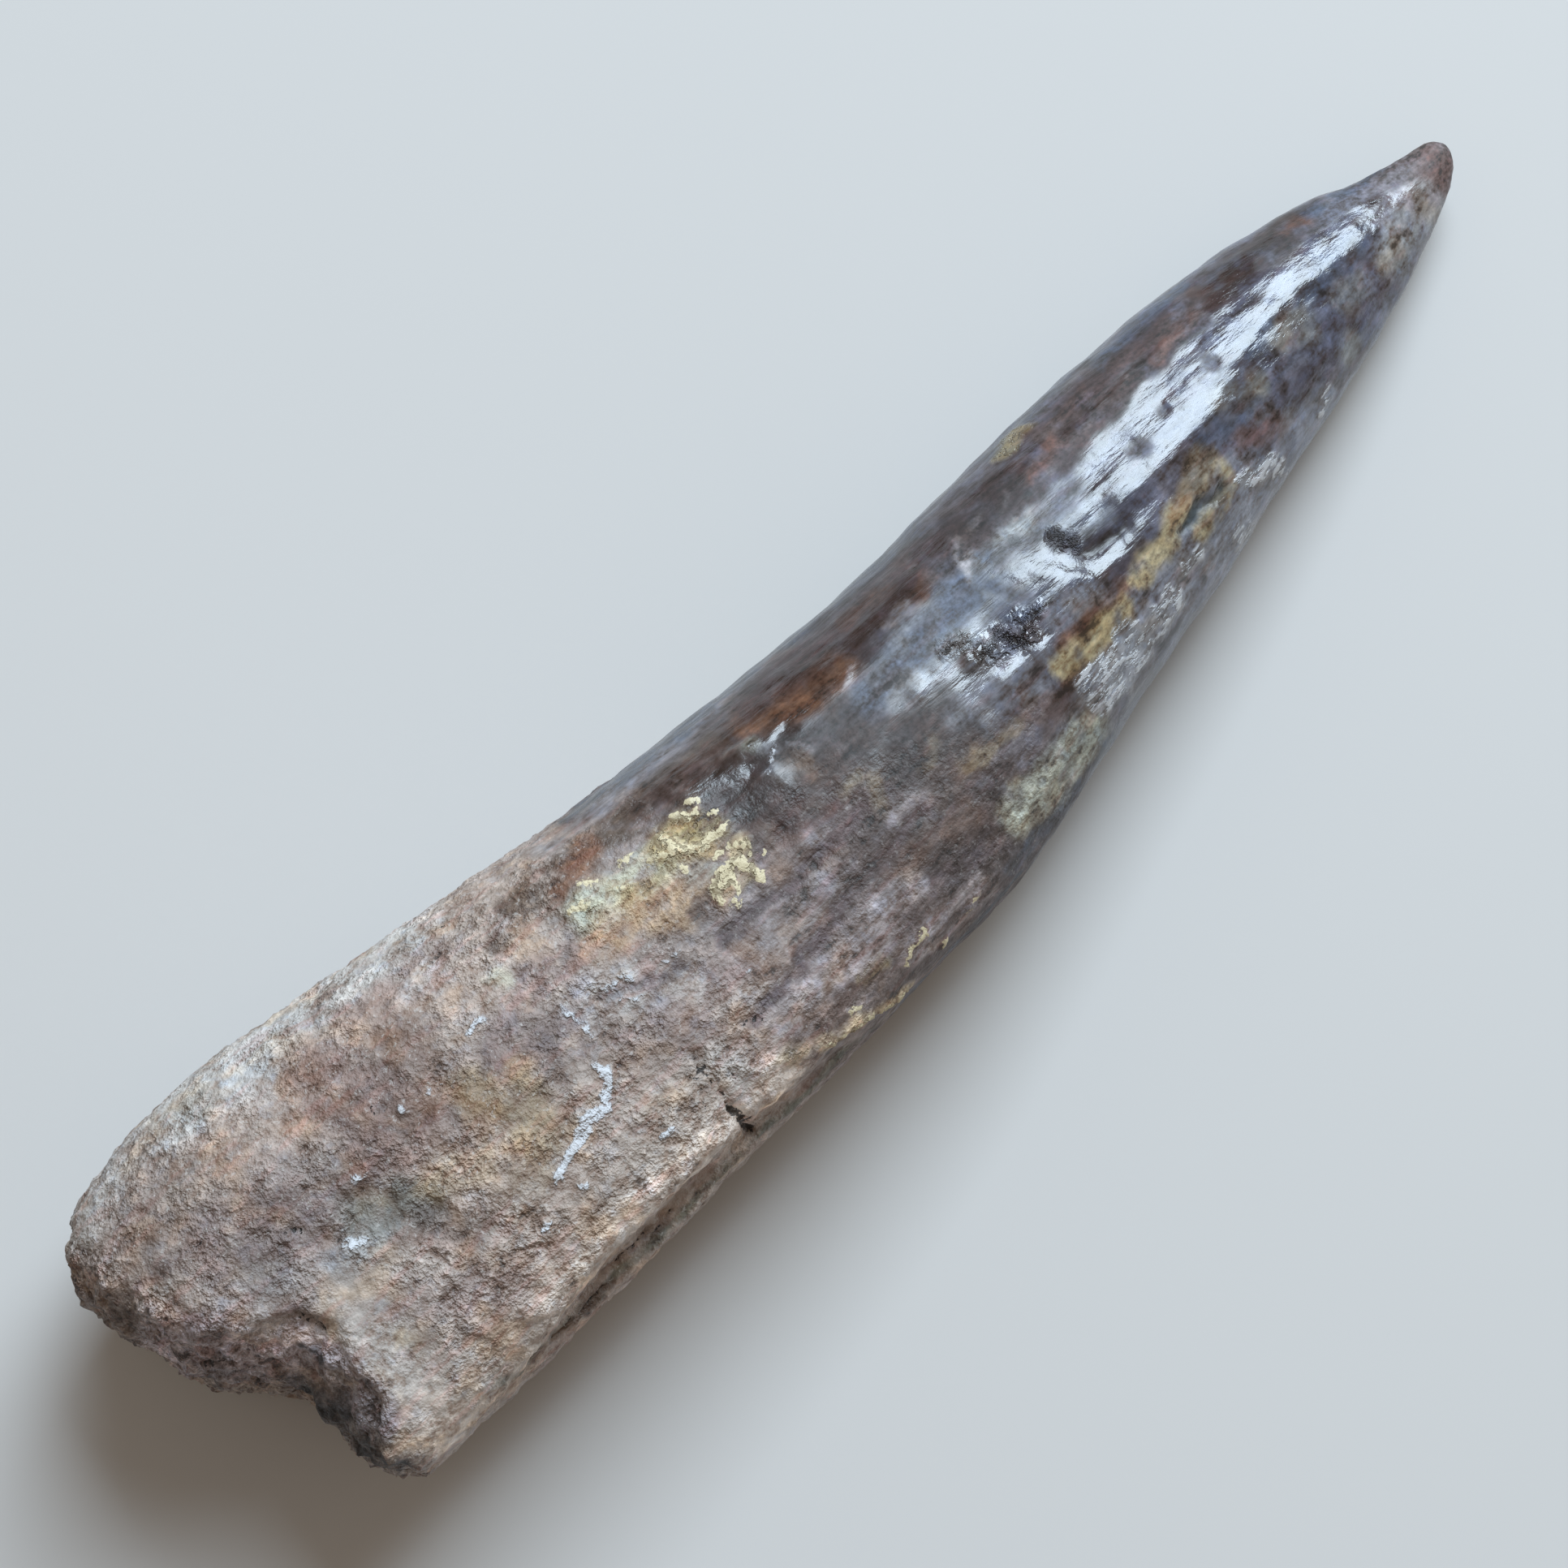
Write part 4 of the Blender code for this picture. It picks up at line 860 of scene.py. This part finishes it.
crumbs = plus(middle[2], small[2], 1.4)
value = plus(value, times(less(crumbs, 1.2), on["fracture"]), CRUMBS)
blotches = times(on["neck"], less(1.0, times(on["enamel"], 0.6)))
value = plus(value, times(centred(middle[1]), blotches), BLOTCHES)
value = maths(finish, "MAXIMUM", value, DARKEST)
shaded = finish.nodes.new("ShaderNodeVectorMath")
shaded.operation = "SCALE"
finish.links.new(layer("paint", "Color"), shaded.inputs[0])
finish.links.new(value, shaded.inputs["Scale"])
# The dark of every mottle is browner.
tint = mixed((1.14, 0.97, 0.88), (0.99, 1.0, 1.02), ramp(value, 0.55, 1.05))
colour = mixed(shaded.outputs[0], tint, 1.0, "MULTIPLY")
# Warm ochre, cool lilac and reddish drifts, and the pores of the root.
pores = times(times(ramp(small[1], 0.58, 0.68), on["grain"]), ramp(broad[2], 0.45, 0.62))
for tint, where in (
    ((1.12, 1.0, 0.86), ramp(broad[1], 0.50, 0.68)), ((0.93, 0.985, 1.07), ramp(middle[1], 0.52, 0.66)),
    ((1.08, 0.94, 0.93), ramp(drawn[2], 0.52, 0.66)), ((0.42, 0.36, 0.36), times(pores, 0.5)),
):
    colour = mixed(colour, tint, where, "MULTIPLY")


def edged(name, wobble, low, high):
    """A layer with a ragged edge."""
    field = layer(name)
    return times(ramp(plus(field, centred(wobble), 1.6), low, high), ramp(field, 0.0, 0.2))


# What lies over the paint: pale grains, pits, pale streaks of painted glint, chalk, crumbs of
# crust, the olive brown that shows through the crusts' gaps, and the cracks.
flecks = times(times(ramp(small[2], 0.60, 0.70), on["grain"]), less(1.0, on["fracture"]))
sunk = times(ramp(on["pitted"], 0.35, 0.9), less(1.0, ramp(torn[0], 0.42, 0.50)))
strands = plus(times(drawn[2], 0.45), threads[1], 0.55)
# Painted glints: pale streaks of reflection on the near flank of the crown.
glint_lines = times(ramp(strands, 0.475, 0.56), ramp(on["glint_streak"], 0.15, 0.6))
chalky = edged("chalk", plus(times(middle[0], 0.9), small[0], 0.6), 0.62, 0.98)
lacy = edged("lace", small[1], 0.30, 0.46)
gaps = times(times(ramp(torn[1], 0.49, 0.58), ramp(on["crust"], 0.2, 0.8)), 0.75)
cracked = edged("crack", small[2], 0.42, 0.62)
for over, where, share in (
    ((0.60, 0.57, 0.54), flecks, 0.4), ((0.012, 0.010, 0.012), sunk, 0.95),
    ((0.62, 0.63, 0.65), glint_lines, 0.72), ((0.66, 0.68, 0.72), chalky, 0.9),
    ((0.72, 0.62, 0.40), lacy, 0.9), ((0.235, 0.175, 0.095), gaps, 1.0),
    ((0.02, 0.016, 0.014), cracked, 0.92),
):
    colour = mixed(colour, over, times(where, share))
finish.links.new(colour, surface.inputs["Base Color"])

# Gloss: dull root, waxy enamel.
ROOT_ROUGHNESS, GLOSS, LEAST_ROUGHNESS = 0.70, -0.50, 0.16
rough = plus(ROOT_ROUGHNESS, on["gloss"], GLOSS)
rough = plus(rough, centred(middle[0]), 0.18)
rough = plus(rough, centred(drawn[1]), 0.42)
finish.links.new(maths(finish, "MAXIMUM", rough, LEAST_ROUGHNESS), surface.inputs["Roughness"])
surface.inputs["IOR"].default_value = 1.74

# Finest relief in mm: the grain of the root, and a trace of it on the enamel.
lively_root = times(plus(on["grain"], on["fracture"], 0.8), lively)
fine_grain = times(centred(small[0]), plus(0.004, lively_root, 0.245))
fine_grain = plus(fine_grain, centred(middle[0]), plus(0.014, lively_root, 0.41))
for field, depth in (
    (times(centred(drawn[1]), on["neck"]), 0.09), (times(ramp(torn[0], 0.38, 0.60), on["pitted"]), 0.45),
    (gaps, -0.13), (cracked, -0.25), (plus(chalky, glint_lines), 0.08),
):
    fine_grain = plus(fine_grain, field, depth)
bump = finish.nodes.new("ShaderNodeBump")
bump.inputs["Distance"].default_value = MM
finish.links.new(fine_grain, bump.inputs["Height"])
finish.links.new(bump.outputs[0], surface.inputs["Normal"])

carver = tooth.modifiers.new("relief", "NODES")
carver.node_group = relief
for item in relief.interface.items_tree:
    if item.item_type == "SOCKET" and item.in_out == "INPUT":
        if item.name in RELIEF_SIZES:
            carver[item.identifier] = RELIEF_SIZES[item.name]
        elif item.name == "Finish":
            carver[item.identifier] = stone
applied(tooth).name = "tooth_skin"

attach(tooth, "root")
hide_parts("fossil_tooth")

# ---------------------------------------------------------------------------------------------
# The board it lies on, the lamp and the camera. A plain pale matt board, one large soft cool lamp
# high beyond the tip on the far side, and dim warm light from all round.
# ---------------------------------------------------------------------------------------------
BOARD_HALF = 1.5
board_mesh = bpy.data.meshes.new("board")
corners = [(x * BOARD_HALF, y * BOARD_HALF, 0) for x, y in ((-1, -1), (1, -1), (1, 1), (-1, 1))]
board_mesh.from_pydata(corners, [], [(0, 1, 2, 3)])
board = bpy.data.objects.new("board", board_mesh)
bpy.context.scene.collection.objects.link(board)
matt = bpy.data.materials.new("pale_matt_board")
matt.use_nodes = True
board_face = matt.node_tree.nodes["Principled BSDF"]
board_face.inputs["Base Color"].default_value = (0.645, 0.63, 0.615, 1.0)
board_face.inputs["Roughness"].default_value = 0.9
board_mesh.materials.append(matt)

LAMP_DISTANCE, LAMP_SIZE = 1.1, (0.77, 0.66)   # m
LAMP_TOWARD = Vector((0.94, 0.455, 1.0)).normalized()
LAMP_POWER = 18.3   # W
lamp_data = bpy.data.lights.new("soft_lamp", "AREA")
lamp_data.shape = "RECTANGLE"
lamp_data.size, lamp_data.size_y = LAMP_SIZE
lamp_data.energy = LAMP_POWER
lamp_data.color = (0.73, 0.875, 1.0)
lamp = bpy.data.objects.new("soft_lamp", lamp_data)
bpy.context.scene.collection.objects.link(lamp)
lamp_side = LAMP_TOWARD.cross(Vector((1.0, 0.0, 0.0))).normalized()
lamp.matrix_world = Matrix.Translation(LAMP_TOWARD * LAMP_DISTANCE) @ Matrix(
    (lamp_side.cross(LAMP_TOWARD), lamp_side, LAMP_TOWARD)).transposed().to_4x4()

world = bpy.data.worlds.new("warm_room")
world.use_nodes = True
room = world.node_tree.nodes["Background"]
room.inputs["Color"].default_value = (0.265, 0.232, 0.198, 1.0)
room.inputs["Strength"].default_value = 1.0
bpy.context.scene.world = world
bpy.context.scene.view_settings.view_transform = "Standard"

CAMERA_TARGET = Vector((-3.32, 2.06, 8.0)) * MM
CAMERA_ROLL, CAMERA_TILT = math.radians(43.79), math.radians(8.0)
CAMERA_DISTANCE = 0.300   # m
camera_data = bpy.data.cameras.new("camera")
camera_data.lens, camera_data.sensor_width = 111.78, 36.0
camera_data.clip_start = 0.01
camera = bpy.data.objects.new("camera", camera_data)
bpy.context.scene.collection.objects.link(camera)
camera.matrix_world = (
    Matrix.Translation(CAMERA_TARGET) @ Matrix.Rotation(-CAMERA_ROLL, 4, "Z")
    @ Matrix.Rotation(CAMERA_TILT, 4, "X") @ Matrix.Translation((0, 0, CAMERA_DISTANCE)))
bpy.context.scene.camera = camera
